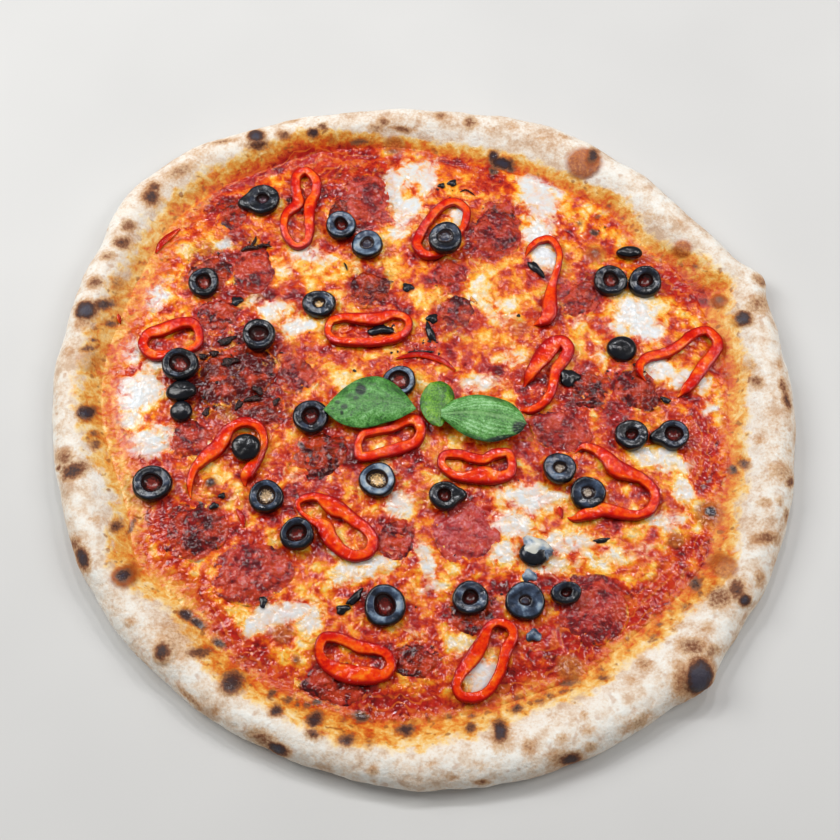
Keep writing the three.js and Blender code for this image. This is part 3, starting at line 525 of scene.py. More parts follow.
def add(tree, kind, inputs=None, **settings):
    """A node with its settings and its inputs."""
    made = tree.nodes.new(kind)
    for name, value in settings.items():
        setattr(made, name, value)
    fill(tree, made.inputs, inputs or {})
    return made


def maths(tree, operation, first, second=0.0, third=0.0):
    """The output of one Math node."""
    return add(tree, "ShaderNodeMath", {0: first, 1: second, 2: third}, operation=operation).outputs[0]


def times(tree, first, second):
    """One value times another."""
    return maths(tree, "MULTIPLY", first, second)


def weighted(tree, start, *terms):
    """start plus the sum of weight times value, for any number of (value, weight) pairs."""
    total = start
    for value, weight in terms:
        total = maths(tree, "MULTIPLY_ADD", value, weight, total)
    return total


def step(tree, value, low, high):
    """A smooth step from 0 at low to 1 at high."""
    return add(tree, "ShaderNodeMapRange", {"Value": value, "From Min": low, "From Max": high},
               interpolation_type="SMOOTHSTEP").outputs["Result"]


def mix(tree, factor, first, second, blend="MIX"):
    """Two colours blended by a factor, or multiplied."""
    return add(tree, "ShaderNodeMix", {"Factor": factor, 6: first, 7: second},
               data_type="RGBA", blend_type=blend).outputs[2]


def lay(tree, mask, strength, under, over):
    """A colour laid over another by a mask times a strength."""
    return mix(tree, times(tree, mask, strength), under, over)


def ramp(tree, value, *stops):
    """A colour ramp from stops of (place, red, green, blue)."""
    made = add(tree, "ShaderNodeValToRGB", {"Fac": value})
    elements = made.color_ramp.elements
    while len(elements) < len(stops):
        elements.new(0.5)
    for element, (place, *colour) in zip(elements, stops):
        element.position, element.color = place, seen(*colour)
    return made.outputs["Color"]


def grain(tree, size_mm, detail=3.0, distortion=0.0, roughness=0.55, shift=0.0):
    """Noise on the piece's own coordinates, with blots of about size_mm."""
    place = add(tree, "ShaderNodeTexCoord").outputs["Object"]
    moved = add(tree, "ShaderNodeVectorMath", {0: place, 1: (shift, shift, shift)}).outputs[0]
    return add(tree, "ShaderNodeTexNoise", {
        "Vector": moved, "Scale": 1 / (size_mm * MM), "Detail": detail,
        "Distortion": distortion, "Roughness": roughness}).outputs["Fac"]


def curds(tree, size_mm, stir_mm):
    """Soft cells of about size_mm, stirred by noise: near 0 in each middle, higher along the veins."""
    place = add(tree, "ShaderNodeTexCoord").outputs["Object"]
    stir = add(tree, "ShaderNodeTexNoise", {"Vector": place, "Scale": 0.4 / (size_mm * MM), "Detail": 3.0})
    moved = add(tree, "ShaderNodeVectorMath", {
        0: stir.outputs["Color"], 1: (stir_mm * MM,) * 3, 2: place}, operation="MULTIPLY_ADD").outputs[0]
    cells = {"Vector": moved, "Scale": 1 / (size_mm * MM), "Smoothness": 0.5}
    return add(tree, "ShaderNodeTexVoronoi", cells, feature="SMOOTH_F1").outputs["Distance"]


def mask_of(tree, label):
    """A mask that the mesh carries."""
    return add(tree, "ShaderNodeAttribute", attribute_name=label).outputs["Fac"]


def bumps(tree, *layers):
    """Bump nodes one on another: (height, depth in mm) each."""
    normal = None
    for height, depth in layers:
        made = add(tree, "ShaderNodeBump", {"Height": height, "Distance": depth * MM, "Strength": 1.0})
        if normal:
            tree.links.new(normal, made.inputs["Normal"])
        normal = made.outputs["Normal"]
    return normal


def new_material(name):
    """An empty node material, its tree, and the sockets of its Principled shader."""
    material = bpy.data.materials.new(name)
    material.use_nodes = True
    tree = material.node_tree
    tree.nodes.clear()
    shader = add(tree, "ShaderNodeBsdfPrincipled")
    add(tree, "ShaderNodeOutputMaterial", {0: shader.outputs[0]})
    return material, tree, shader.inputs


# %% [markdown]
# ## Effects that several finishes share
# Char runs over the dough and the topping alike, so it is one group: a mask goes from the colour of
# the food through tan and brown to the blue-black of burnt dough, partly a painted sheen. A second
# group gives a soft mask from the mesh the ragged edge that melted food has, by adding fine noise
# before a steep step. The whole topping is a group as well, because it laps onto the dough without a seam.

# %% Shared groups
def new_group(name, inputs, outputs):
    """A shader node group: inputs with their defaults, and outputs. Colour is a colour and the rest
    are numbers. Returns the tree, what it is given and where its results are put."""
    tree = bpy.data.node_groups.new(name, "ShaderNodeTree")
    kinds = {"Colour": "NodeSocketColor"}
    for label, default in inputs.items():
        socket_type = kinds.get(label, "NodeSocketFloat")
        tree.interface.new_socket(label, in_out="INPUT", socket_type=socket_type).default_value = default
    for label in outputs:
        socket_type = kinds.get(label, "NodeSocketFloat")
        tree.interface.new_socket(label, in_out="OUTPUT", socket_type=socket_type)
    return tree, tree.nodes.new("NodeGroupInput").outputs, tree.nodes.new("NodeGroupOutput").inputs


def use_group(tree, group, **inputs):
    """The outputs of a placed group."""
    return add(tree, "ShaderNodeGroup", inputs, node_tree=group).outputs


def make_char_group():
    """From food colour: orange-brown blisters, tan, brown, dark, then blue-black that is partly painted
    sheen.
    """
    tree, given, put = new_group("Oven char", {"Colour": (1, 1, 1, 1), "Char": 0.0, "Blister": 0.0},
                                 ["Colour", "Burnt"])
    speckle = grain(tree, 1.3, 4.0, 0.3)
    skin = ramp(tree, speckle, (0.30, 142, 64, 24), (0.50, 176, 92, 36), (0.70, 206, 132, 62))
    swollen = maths(tree, "MINIMUM", times(tree, given["Blister"], 1.5), 0.9)
    uneven = maths(tree, "SUBTRACT", weighted(tree, given["Char"], (speckle, 0.50)), 0.25)
    held = maths(tree, "MINIMUM", uneven, times(tree, given["Char"], 2.5))
    colour = mix(tree, swollen, given["Colour"], skin)
    colour = mix(tree, step(tree, held, 0.03, 0.36), colour, (0.78, 0.56, 0.38, 1), "MULTIPLY")
    # the last shade, blue-black, is partly a painted sheen on the burnt centres
    for low, high, shade in [(0.28, 0.56, seen(132, 82, 52)), (0.48, 0.72, seen(66, 44, 40)),
                             (0.72, 0.98, seen(62, 58, 70))]:
        colour = mix(tree, step(tree, held, low, high), colour, shade)
    connect(tree, put, Colour=colour, Burnt=step(tree, held, 0.4, 0.9))
    return tree


def make_golden_group():
    """Dough soaked with oil: cream, yellow, orange and red-orange with depth, mottled and specked."""
    tree, given, put = new_group("Golden dough", {"Depth": 0.5}, ["Colour"])
    blots, fine = grain(tree, 4.5, 3.0, 0.6), grain(tree, 1.5, 3.0)
    tone = weighted(tree, -0.44, (given["Depth"], 0.44), (blots, 1.0), (fine, 0.40))
    colour = ramp(tree, tone, (0.10, 240, 220, 182), (0.26, 238, 202, 132), (0.40, 231, 170, 77),
                  (0.54, 220, 130, 40), (0.68, 210, 88, 24), (0.84, 184, 50, 18))
    specks = step(tree, grain(tree, 3.6, 1.0, shift=0.7), 0.62, 0.74)
    connect(tree, put, Colour=lay(tree, specks, 0.75, colour, seen(150, 84, 30)))
    return tree


def make_edge_group():
    """Mask plus centred noise, through a steep smooth step: a ragged edge finer than the mesh."""
    tree, given, put = new_group("Ragged edge", {"Mask": 0.0, "Noise": 0.5, "Reach": 0.8, "Softness": 0.12},
                                 ["Mask"])
    centred = maths(tree, "SUBTRACT", given["Noise"], 0.5)
    stirred = maths(tree, "MULTIPLY_ADD", centred, given["Reach"], given["Mask"])
    low = maths(tree, "SUBTRACT", 0.5, given["Softness"])
    high = maths(tree, "ADD", 0.5, given["Softness"])
    connect(tree, put, Mask=step(tree, stirred, low, high))
    return tree


def make_marbled_group():
    """Fat and oil over sauce: noise and soft cells, plus Lift, pick dark red, orange, gold or cream."""
    tree, given, put = new_group("Marbled cheese", {"Lift": 0.0}, ["Colour", "Veins"])
    veins = curds(tree, 6.2, 9.0)
    broad, middle, fine = grain(tree, 11, 2.0, 0.8), grain(tree, 3.8, 3.0, 0.9), grain(tree, 1.1, 3.0)
    fat = weighted(tree, given["Lift"], (broad, 0.95), (middle, 0.60), (fine, 0.26), (veins, -0.42))
    colour = ramp(tree, fat, (0.06, 96, 8, 6), (0.20, 158, 20, 10), (0.32, 196, 50, 10),
                  (0.42, 222, 96, 12), (0.52, 238, 142, 26), (0.62, 242, 182, 66),
                  (0.74, 240, 212, 150), (0.88, 236, 230, 220))
    connect(tree, put, Colour=colour, Veins=veins)
    return tree


char_group, golden_group, edge_group = make_char_group(), make_golden_group(), make_edge_group()
marbled_group = make_marbled_group()


def ragged(tree, mask, noise, reach, softness):
    """A mask with a ragged edge."""
    return use_group(tree, edge_group, Mask=mask, Noise=noise, Reach=reach, Softness=softness)[0]


def place_char(tree, colour):
    """The char group over a colour, fed with the masks that the mesh carries."""
    return use_group(tree, char_group, Colour=colour, Char=mask_of(tree, "char"),
                     Blister=mask_of(tree, "blister"))


# %% The topping as a group
TOPPING_MASKS = ("Depth", "Sauce", "Mozzarella", "Yellow", "Meat", "Scorch")


def make_topping_group():
    """Marbled cheese, red sauce, mozzarella, crumbled meat and the golden edge, laid on in that order."""
    tree, given, put = new_group("Topping", dict.fromkeys(TOPPING_MASKS, 0.0),
                                 ["Colour", "Pool", "Edge", "Veins"])
    depth, milky, meat = given["Depth"], given["Mozzarella"], given["Meat"]
    broad, middle, fine = grain(tree, 11, 2.0, 0.8), grain(tree, 3.8, 3.0, 0.9), grain(tree, 1.1, 3.0)
    drops = grain(tree, 2.8, 0.8, 0.3, shift=0.9)
    marbled = use_group(tree, marbled_group, Lift=weighted(
        tree, -0.32, (milky, 0.36), (given["Yellow"], 0.20), (given["Sauce"], -0.22), (meat, -0.14)))
    wet = ragged(tree, given["Sauce"], middle, 1.6, 0.3)
    tomato = ramp(tree, weighted(tree, 0.0, (drops, 0.4), (broad, 0.6)),
                  (0.36, 140, 10, 10), (0.50, 188, 30, 18), (0.64, 212, 76, 22))
    colour = lay(tree, wet, 0.78, marbled["Colour"], tomato)
    flow = maths(tree, "SINE", weighted(tree, 0.0, (depth, 15.0), (broad, 20.0)))
    flow = times(tree, wet, step(tree, flow, 0.45, 1.0))
    colour = lay(tree, flow, 0.6, colour, seen(226, 112, 34))
    pool = ragged(tree, milky, middle, 1.7, 0.34)
    milk = ramp(tree, weighted(tree, 0.0, (drops, 0.30), (broad, 0.35), (fine, 0.2), (milky, 0.17)),
                (0.38, 228, 158, 84), (0.46, 226, 194, 154), (0.53, 222, 210, 202), (0.62, 214, 220, 224))
    colour = lay(tree, pool, 0.9, colour, milk)
    crumb = grain(tree, 2.0, 3.0, 0.4, shift=0.3)
    # melted meat gets pink crumbs, partly painted highlights on the wet meat, and dark-red crumbs
    for mask, speckle, none, full, strength, shade in [
            (meat, crumb, 0.50, 0.64, 0.45, seen(190, 88, 92)),
            (meat, crumb, 0.50, 0.36, 0.65, seen(84, 10, 8)),
            (given["Scorch"], middle, 0.74, 0.46, 0.85, seen(48, 7, 6))]:
        colour = lay(tree, times(tree, mask, step(tree, speckle, none, full)), strength, colour, shade)
    golden = use_group(tree, golden_group, Depth=depth)["Colour"]
    edge = ragged(tree, weighted(tree, 1.75, (depth, -1.25)), middle, 1.6, 0.3)
    connect(tree, put, Colour=mix(tree, edge, colour, golden), Pool=pool, Edge=edge, Veins=marbled["Veins"])
    return tree


topping_group = make_topping_group()


def place_topping(tree):
    """The topping group, fed with the masks that the mesh carries."""
    carried = {label: mask_of(tree, label.lower()) for label in TOPPING_MASKS}
    return use_group(tree, topping_group, **carried)


print("groups:", [group.name for group in bpy.data.node_groups])

# %% [markdown]
# ## The dough
# Baked dough is matt and floury: cream where flour is left, warmer where it browned, golden where
# the oil of the topping ran onto it. Further in it takes the topping's own colours, so that no seam
# shows where the bed begins. All masks come from the mesh, and small noises keep every area from
# being flat. The relief of the flour is finer than the mesh, so it is a bump.

# %% Dough finish
def make_dough():
    material, tree, shader = new_material("baked_dough")
    broad, middle, fine = grain(tree, 16, 3.0, 0.4), grain(tree, 5.0, 4.0, 0.3), grain(tree, 1.1, 4.0)
    tone = weighted(tree, -0.05, (broad, 0.45), (middle, 0.4), (fine, 0.25))
    cream = ramp(tree, tone, (0.38, 204, 174, 146), (0.45, 222, 202, 180), (0.51, 232, 222, 208),
                 (0.60, 238, 236, 228))
    freckles = step(tree, grain(tree, 4.0, 1.5, shift=0.4), 0.60, 0.74)
    cream = lay(tree, freckles, 0.45, cream, seen(186, 140, 104))
    depth = mask_of(tree, "depth")
    oily = ragged(tree, weighted(tree, 0.5, (depth, 2.2)), middle, 2.6, 0.35)
    painted = place_char(tree, mix(tree, oily, cream, place_topping(tree)["Colour"]))
    sauced = step(tree, depth, 0.8, 1.3)
    connect(tree, shader, Base_Color=painted["Colour"], Specular_IOR_Level=0.3,
            Roughness=weighted(tree, 0.8, (oily, -0.4), (sauced, -0.2), (painted["Burnt"], -0.3)),
            Normal=bumps(tree, (middle, 0.6), (fine, 0.25)))
    return material


dough = make_dough()
print("finish:", dough.name)

# %% [markdown]
# ## The rim and base
# The dough is one body of rings. Each ring is a function of the angle: a quarter ellipse under the
# rim, a quarter ellipse over it, and half a cosine wave down to the flat base. A last push along the
# surface's own normal adds the unevenness of proofed dough and the bubbles.

# %% Crust surface
SPOKES, CRUST_RELIEF = 1180, 0.55


def crust_rings():
    """Rings from under the base outwards, over the crest and in again, as radius and height."""
    angle = around(SPOKES)
    under = np.radians(np.linspace(-90, 0, 12))[:, None]
    over = np.radians(np.linspace(0, 90, 23))[1:, None]
    fall = np.linspace(0, 1, 32)[1:, None]
    edge, crest, foot = outline(angle), outline(angle) - CREST_INSET, bed_edge(angle) - FOOT_INSET
    slope = crest + (foot - crest) * fall
    parts = [np.broadcast_arrays(*part) for part in (
        (edge - 60, 0.0), (edge - 30, 0.0),
        (edge - RIM_UNDERCUT * (1 - np.cos(under)), RIM_WIDEST * (1 + np.sin(under))),
        (edge - CREST_INSET * (1 - np.cos(over)),
         RIM_WIDEST + (rim_height(angle) - RIM_WIDEST) * np.sin(over)),
        (slope, dough_top(slope, angle)),
        (foot - 8, BASE_THICKNESS), (foot - 60, BASE_THICKNESS))]
    radius, height = (np.concatenate(values) for values in zip(*parts))
    return np.stack([MIDDLE[0] + radius * np.cos(angle), MIDDLE[1] + radius * np.sin(angle), height], -1)


def ring_normals(rings):
    """Unit normals of a wrapped grid: the cross product of its two neighbour differences."""
    along = np.roll(rings, -1, 1) - np.roll(rings, 1, 1)
    across = np.gradient(rings, axis=0)
    normal = np.cross(along, across)
    return normal / np.maximum(np.linalg.norm(normal, axis=-1, keepdims=True), 1e-9)


def make_crust():
    rings = crust_rings()
    x, y, z = np.moveaxis(rings, -1, 0)
    seen_x, seen_y = seen_from_above(x, y, z)
    relief = CRUST_RELIEF * (rough(x + z, y - z, 13.0, 41) + 0.5 * rough(x - z, y + z, 4.5, 43))
    relief = relief + bubble_relief(seen_x, seen_y)
    shown = smooth(0.6, 3.0, z) * smooth(0, 6, polar(x, y)[0] - bed_edge(polar(x, y)[1]))
    rings = rings + ring_normals(rings) * (relief * shown)[..., None]
    rings[..., 2] = np.maximum(rings[..., 2], 0)
    points, quads, triangles = revolve(rings, [*MIDDLE, 0], [*MIDDLE, BASE_THICKNESS])
    return make_piece("baked_crust", points, quads, triangles, masks(*points.T), dough, "dough", "crust")


crust = make_crust()
print("crust:", len(crust.data.polygons), "faces")

# %% [markdown]
# ## Sauce and melted cheese
# This surface carries most of the picture. Its colour is laid on in the order in which the pizza was
# made and baked: marbled cheese and oil, red sauce, the stain of melted pepperoni, pools of
# mozzarella, the baked golden edge, and char. Each layer takes its place from a mask on the mesh and
# its ragged outline from noise. The same noises raise the surface, so that pale fat stands up and
# wet sauce lies low.

# %% Cheese finish
def make_cheese():
    material, tree, shader = new_material("sauce_and_melted_cheese")
    middle, fine = grain(tree, 3.8, 3.0, 0.9), grain(tree, 1.1, 3.0)
    drops = grain(tree, 2.8, 0.8, 0.3, shift=0.9)
    topping = place_topping(tree)
    pool, edge, veins = topping["Pool"], topping["Edge"], topping["Veins"]
    calm = weighted(tree, 1.0, (pool, -0.65), (edge, -0.3))
    relief = times(tree, weighted(tree, 0.0, (drops, 1.0), (veins, -0.5)), calm)
    connect(tree, shader, Base_Color=place_char(tree, topping["Colour"])["Colour"], Specular_IOR_Level=0.42,
            Roughness=weighted(tree, 0.05, (edge, 0.2), (pool, 0.08), (fine, 0.12)),
            Normal=bumps(tree, (relief, 1.35), (middle, 0.25)))
    return material


melted_cheese = make_cheese()
print("finish:", melted_cheese.name)

# %% Cheese surface
BED_CELLS = 306
BED_UNDERSIDE = BASE_THICKNESS - 0.5    # its flat underside lies half a millimetre into the dough
BED_TAPER = 0.97                        # how far in the wall under its edge leans


def bed_relief(x, y, paint):
    """Millimetres above the even bed: lumps at three sizes, raised pools, low sauce and bubbles."""
    lumps = 0.42 * rough(x, y, 7.0, 61) + 0.34 * rough(x, y, 2.8, 67, 2)
    return (lumps * (1 - 0.5 * paint["mozzarella"]) + 0.5 * paint["mozzarella"] - 0.35 * paint["sauce"]
            + 0.25 * paint["meat"] * rough(x, y, 2.0, 71, 2) + bubble_relief(x, y))


def bed_even(x, y):
    """The dough's top plus the thickness of the topping, which thins out towards its edge."""
    radius, angle = polar(x, y)
    edge = bed_edge(angle)
    thickness = BED_THICKNESS + (BED_EDGE - BED_THICKNESS) * smooth(0.86, 1.0, radius / edge)
    return dough_top(np.minimum(radius, edge), angle) + thickness


def disc_grid(cells):
    """Unit disc from a square grid: the larger of |a|, |b| is the radius, and the ratio the angle."""
    a, b = np.meshgrid(np.linspace(-1, 1, cells), np.linspace(-1, 1, cells), indexing="ij")
    wide = np.abs(a) > np.abs(b)
    radius = np.where(wide, a, b)
    safe = np.where(radius == 0, 1, radius)
    angle = np.where(wide, np.pi / 4 * b / safe, np.pi / 2 - np.pi / 4 * a / safe)
    return radius * np.cos(angle), radius * np.sin(angle)


def border_ring(cells):
    """Numbers of the border points of a square grid, once round."""
    first = np.arange(cells)
    return np.concatenate([first[:-1] * cells, (cells - 1) * cells + first[:-1],
                           first[:0:-1] * cells + cells - 1, first[:0:-1]])


def make_bed():
    unit_x, unit_y = disc_grid(BED_CELLS)
    share = np.hypot(unit_x, unit_y)
    edge = bed_edge(np.arctan2(unit_y, unit_x))
    x, y = MIDDLE[0] + unit_x * edge, MIDDLE[1] + unit_y * edge
    even = bed_even(x, y)
    paint = masks(x, y, even)
    relief = bed_relief(x, y, paint) * (0.15 + 0.85 * (1 - smooth(0.93, 1.0, share)))
    z = even + relief - 1.5 * (1 - smooth(0, 0.02, 1 - share))
    top = np.stack([x, y, z], -1).reshape(-1, 3)
    ring = border_ring(BED_CELLS)
    lower_ring = top[ring] * [BED_TAPER, BED_TAPER, 0] + [0, 0, BED_UNDERSIDE]
    points = np.concatenate([top, lower_ring, [[*MIDDLE, BED_UNDERSIDE]]])
    lower = len(top) + np.arange(len(ring))
    wall = np.stack([ring, np.roll(ring, -1), np.roll(lower, -1), lower], -1)
    quads = np.concatenate([grid_quads(BED_CELLS, BED_CELLS, wrap=False), wall])
    for label, values in paint.items():
        values = values.ravel()
        paint[label] = np.concatenate([values, values[ring], [0]])
    return make_piece("melted_bed", points, quads, fan(lower[::-1], len(points) - 1), paint,
                      melted_cheese, "melted_cheese", "sauce_and_cheese")


bed = make_bed()
print("bed:", len(bed.data.polygons), "faces")

# %% [markdown]
# ## Curves and ribbons
# Rings of pepper, strips and stalks are all the same kind of thing: a section carried along a curve.
# The curve is given by a few points read off the pizza, and the section is a rounded box, a
# superellipse, because cut pepper has flat faces with soft edges.

# %% Curve and ribbon helpers
def curve(points, count, closed=False, fineness=40):
    """Evenly spaced points on the Catmull-Rom curve through the listed ones, measured along a much
    finer one."""
    listed = np.asarray(points, float)
    before = listed[-1:] if closed else 2 * listed[:1] - listed[1:2]
    after = listed[:2] if closed else 2 * listed[-1:] - listed[-2:-1]
    listed = np.concatenate([before, listed, after])
    place = np.linspace(0, len(listed) - 3, fineness * len(listed))
    i = np.minimum(place.astype(int), len(listed) - 4)
    fine = blended(*(listed[i + k] for k in range(4)), (place - i)[:, None])
    walked = np.append(0, np.cumsum(np.linalg.norm(np.diff(fine, axis=0), axis=1)))
    wanted = np.linspace(0, walked[-1], count + int(closed))[:count]
    return np.stack([np.interp(wanted, walked, fine[:, k]) for k in range(fine.shape[1])], -1)


def headings(path, closed):
    """Unit vectors square to a level path, pointing to its right."""
    along = np.roll(path, -1, 0) - np.roll(path, 1, 0) if closed else np.gradient(path, axis=0)
    side = np.stack([along[:, 1], -along[:, 0]], -1)
    return side / np.linalg.norm(side, axis=1, keepdims=True)


def signed_power(value, power):
    """The size raised to a power and the sign kept, which squares off a circle or flattens a slope."""
    return np.sign(value) * np.abs(value) ** power


def ribbon(path, low, width, height, closed, columns=24, roundness=0.45):
    """A superellipse section, its cosine and sine raised to a power, carried along a level path."""
    turn = around(columns)[0]
    across, up = signed_power(np.cos(turn), roundness), signed_power(np.sin(turn), roundness)
    side = headings(path, closed)
    flat = path[:, None] + side[:, None] * (across[None, :] * width[:, None] / 2)[..., None]
    level = low[:, None] + height[:, None] * (0.5 + 0.5 * up[None, :])
    rings = np.concatenate([flat, level[..., None]], -1)
    if closed:
        quads = grid_quads(len(path) + 1, columns) % (len(path) * columns)
        points, ends = rings.reshape(-1, 3), np.zeros((0, 3), int)
    else:
        points, quads, ends = revolve(rings)
    poles = np.zeros(len(points) - len(path) * columns)
    paint = {"across": np.append(np.tile(across, len(path)), poles),
             "up": np.append(np.tile(up, len(path)), poles)}
    return points, quads, ends, paint


# %% [markdown]
# ## Pepperoni
# The slices have melted into the cheese: a thin disc that follows what lies under it, with lumps of
# meat and fat standing out, an edge that dips under in one place and curls up in another, and a rim
# that marbled cheese has run over. Ten slices show clearly. Many more are half drowned, so they lie
# lower, and the cheese's own hills cover parts of them.

# %% Pepperoni finish and slices
SLICES = [    # centre, radius, stretch, turn of the long side
    (-96, -51.5, 14.5, 1.0, 0), (-71, -69.5, 16.5, 1.05, 20), (18, -53, 15, 1.0, 0),
    (68, -85, 16, 1.05, -15), (-27, 112, 13, 1.15, 80), (33, 94.5, 14, 1.12, 80),
    (-76, 75, 12, 1.15, 70), (-82, 21, 17, 1.1, 30), (59, -5, 12.5, 1.15, -20),
    (94, 13.5, 11, 1.1, -30)]
DROWNED = [
    (-92, 51, 12.5, 1.1, 0), (71, 60, 11, 1.2, 60), (12, 72, 10, 1.05, 10), (15, 53, 11, 1.1, 90),
    (-24, 65, 12, 1.1, -20), (-43, -17, 15, 1.1, 20), (-3, -108, 11, 1.05, 0), (-12, -56, 12, 1.1, 70),
    (-100, -9, 12, 1.05, 0), (-36, -117, 14, 1.3, -12), (20, -88, 13, 1.05, 0), (72, 14, 12, 1.1, 60),
    (-96, 72, 13, 1.1, 20), (-87, 103, 10, 1.15, 70), (-72, 4, 12, 1.1, 0), (-55, 22, 11, 1.0, 0),
    (36, 104, 9, 1.0, 0), (-38, 104, 9, 1.2, 80), (-58, 110, 8, 1.3, 85)]


def make_pepperoni():
    material, tree, shader = new_material("melted_pepperoni")
    pale, rim = mask_of(tree, "pale"), mask_of(tree, "rim")
    broad, middle, fine = grain(tree, 7, 3.0, 0.5), grain(tree, 2.6, 3.0, 0.8), grain(tree, 1.0, 3.0)
    drops = grain(tree, 2.7, 0.8, 0.4, shift=0.5)
    tone = weighted(tree, -0.23, (broad, 0.65), (middle, 0.5), (fine, 0.2), (pale, 0.12))
    # the palest, lilac stops are partly painted highlights on the wet meat, beside its paler mottling
    colour = ramp(tree, tone, (0.34, 54, 3, 6), (0.43, 104, 8, 9), (0.50, 148, 20, 14),
                  (0.57, 172, 46, 40), (0.64, 188, 86, 94), (0.74, 204, 144, 170))
    colour = lay(tree, pale, 0.22, colour, seen(184, 82, 92))
    soaked = ragged(tree, mask_of(tree, "oil"), broad, 2.2, 0.3)
    colour = lay(tree, soaked, 0.55, colour, seen(202, 70, 12))
    dried = times(tree, mask_of(tree, "scorch"), step(tree, broad, 0.70, 0.44))
    colour = lay(tree, dried, 0.85, colour, seen(78, 12, 11))
    marbled = use_group(tree, marbled_group, Lift=weighted(tree, -0.39, (rim, 0.17)))["Colour"]
    colour = lay(tree, ragged(tree, rim, middle, 2.4, 0.35), 0.85, colour, marbled)
    connect(tree, shader, Base_Color=colour, Specular_IOR_Level=0.36,
            Roughness=weighted(tree, 0.08, (fine, 0.14)),
            Normal=bumps(tree, (drops, 1.25), (middle, 0.3)))
    return material


SLICE_PALE = (.1, .4, 1.0, .5, .5, .2, .3, 0, .6, .1)    # 1 is the most mauve


def slice_body(row, seed, proud, pale, rim_from=0.8, columns=120):
    """A disc of rings. Its top is the bed plus a lumpy thickness, and its edge dips or curls."""
    centre_x, centre_y, radius, stretch, turn = row
    angle = around(columns)
    under = 3    # the first rings lie below
    q = np.concatenate([[0.5, 0.9, 1.0], np.linspace(1.0, 0, 24)[1:-1] ** 0.8])[:, None]
    wobble = 1 + 0.035 * np.sin(2 * angle + seed) + 0.03 * np.sin(5 * angle + 2 * seed)
    wobble = wobble + 0.03 * rough(6 * np.cos(angle) + seed, 6 * np.sin(angle), 1.6, seed)
    reach = radius * wobble * q
    x, y = turned(reach * stretch * np.cos(angle), reach / stretch * np.sin(angle), turn)
    x, y = x + centre_x, y + centre_y
    even = bed_even(x, y)
    curl = 0.9 * np.sin(angle + 1.7 * seed) + 0.5 * np.sin(3 * angle + seed)
    top = even + proud + 0.55 * rough(x, y, 4.0, seed) + 0.35 * rough(x, y, 2.0, seed + 3, 2)
    top = top + 0.22 * np.sin(15 * q + 3 * rough(x, y, 9.0, seed + 7)) * smooth(0.2, 0.6, q)
    z = top + (0.4 * curl - 1.0) * smooth(0.5, 1.0, q) - 0.4 * smooth(0.93, 1.0, q)
    z[:under] = np.minimum(even - 0.9, z - 0.5)[:under]
    points, quads, ends = revolve(np.stack([x, y, z], -1))
    paint = {"rim": with_poles(smooth(rim_from, 1.05, q) + 0 * x),
             "oil": with_poles(0.42 + 0.2 * rough(x, y, 9, seed), 0.4, 0.4),
             "scorch": masks(*points.T)["scorch"], "pale": np.full(len(points), pale)}
    return points, quads, ends, paint


pepperoni = make_pepperoni()
for number, (row, pale) in enumerate(zip(SLICES, SLICE_PALE), 1):
    made = slice_body(row, number, 1.0, pale)
    make_piece(f"melted_slice_{number}", *made, pepperoni, "pepperoni", f"pepperoni_{number}")
drowned = joined([slice_body(row, 20 + number, 0.45, 0.3 * math.sin(number), 0.6, 90)
                  for number, row in enumerate(DROWNED)])
make_piece("drowned_slices", *drowned, pepperoni, "pepperoni")
print("pepperoni:", len(SLICES), "clear slices and", len(DROWNED), "half drowned")
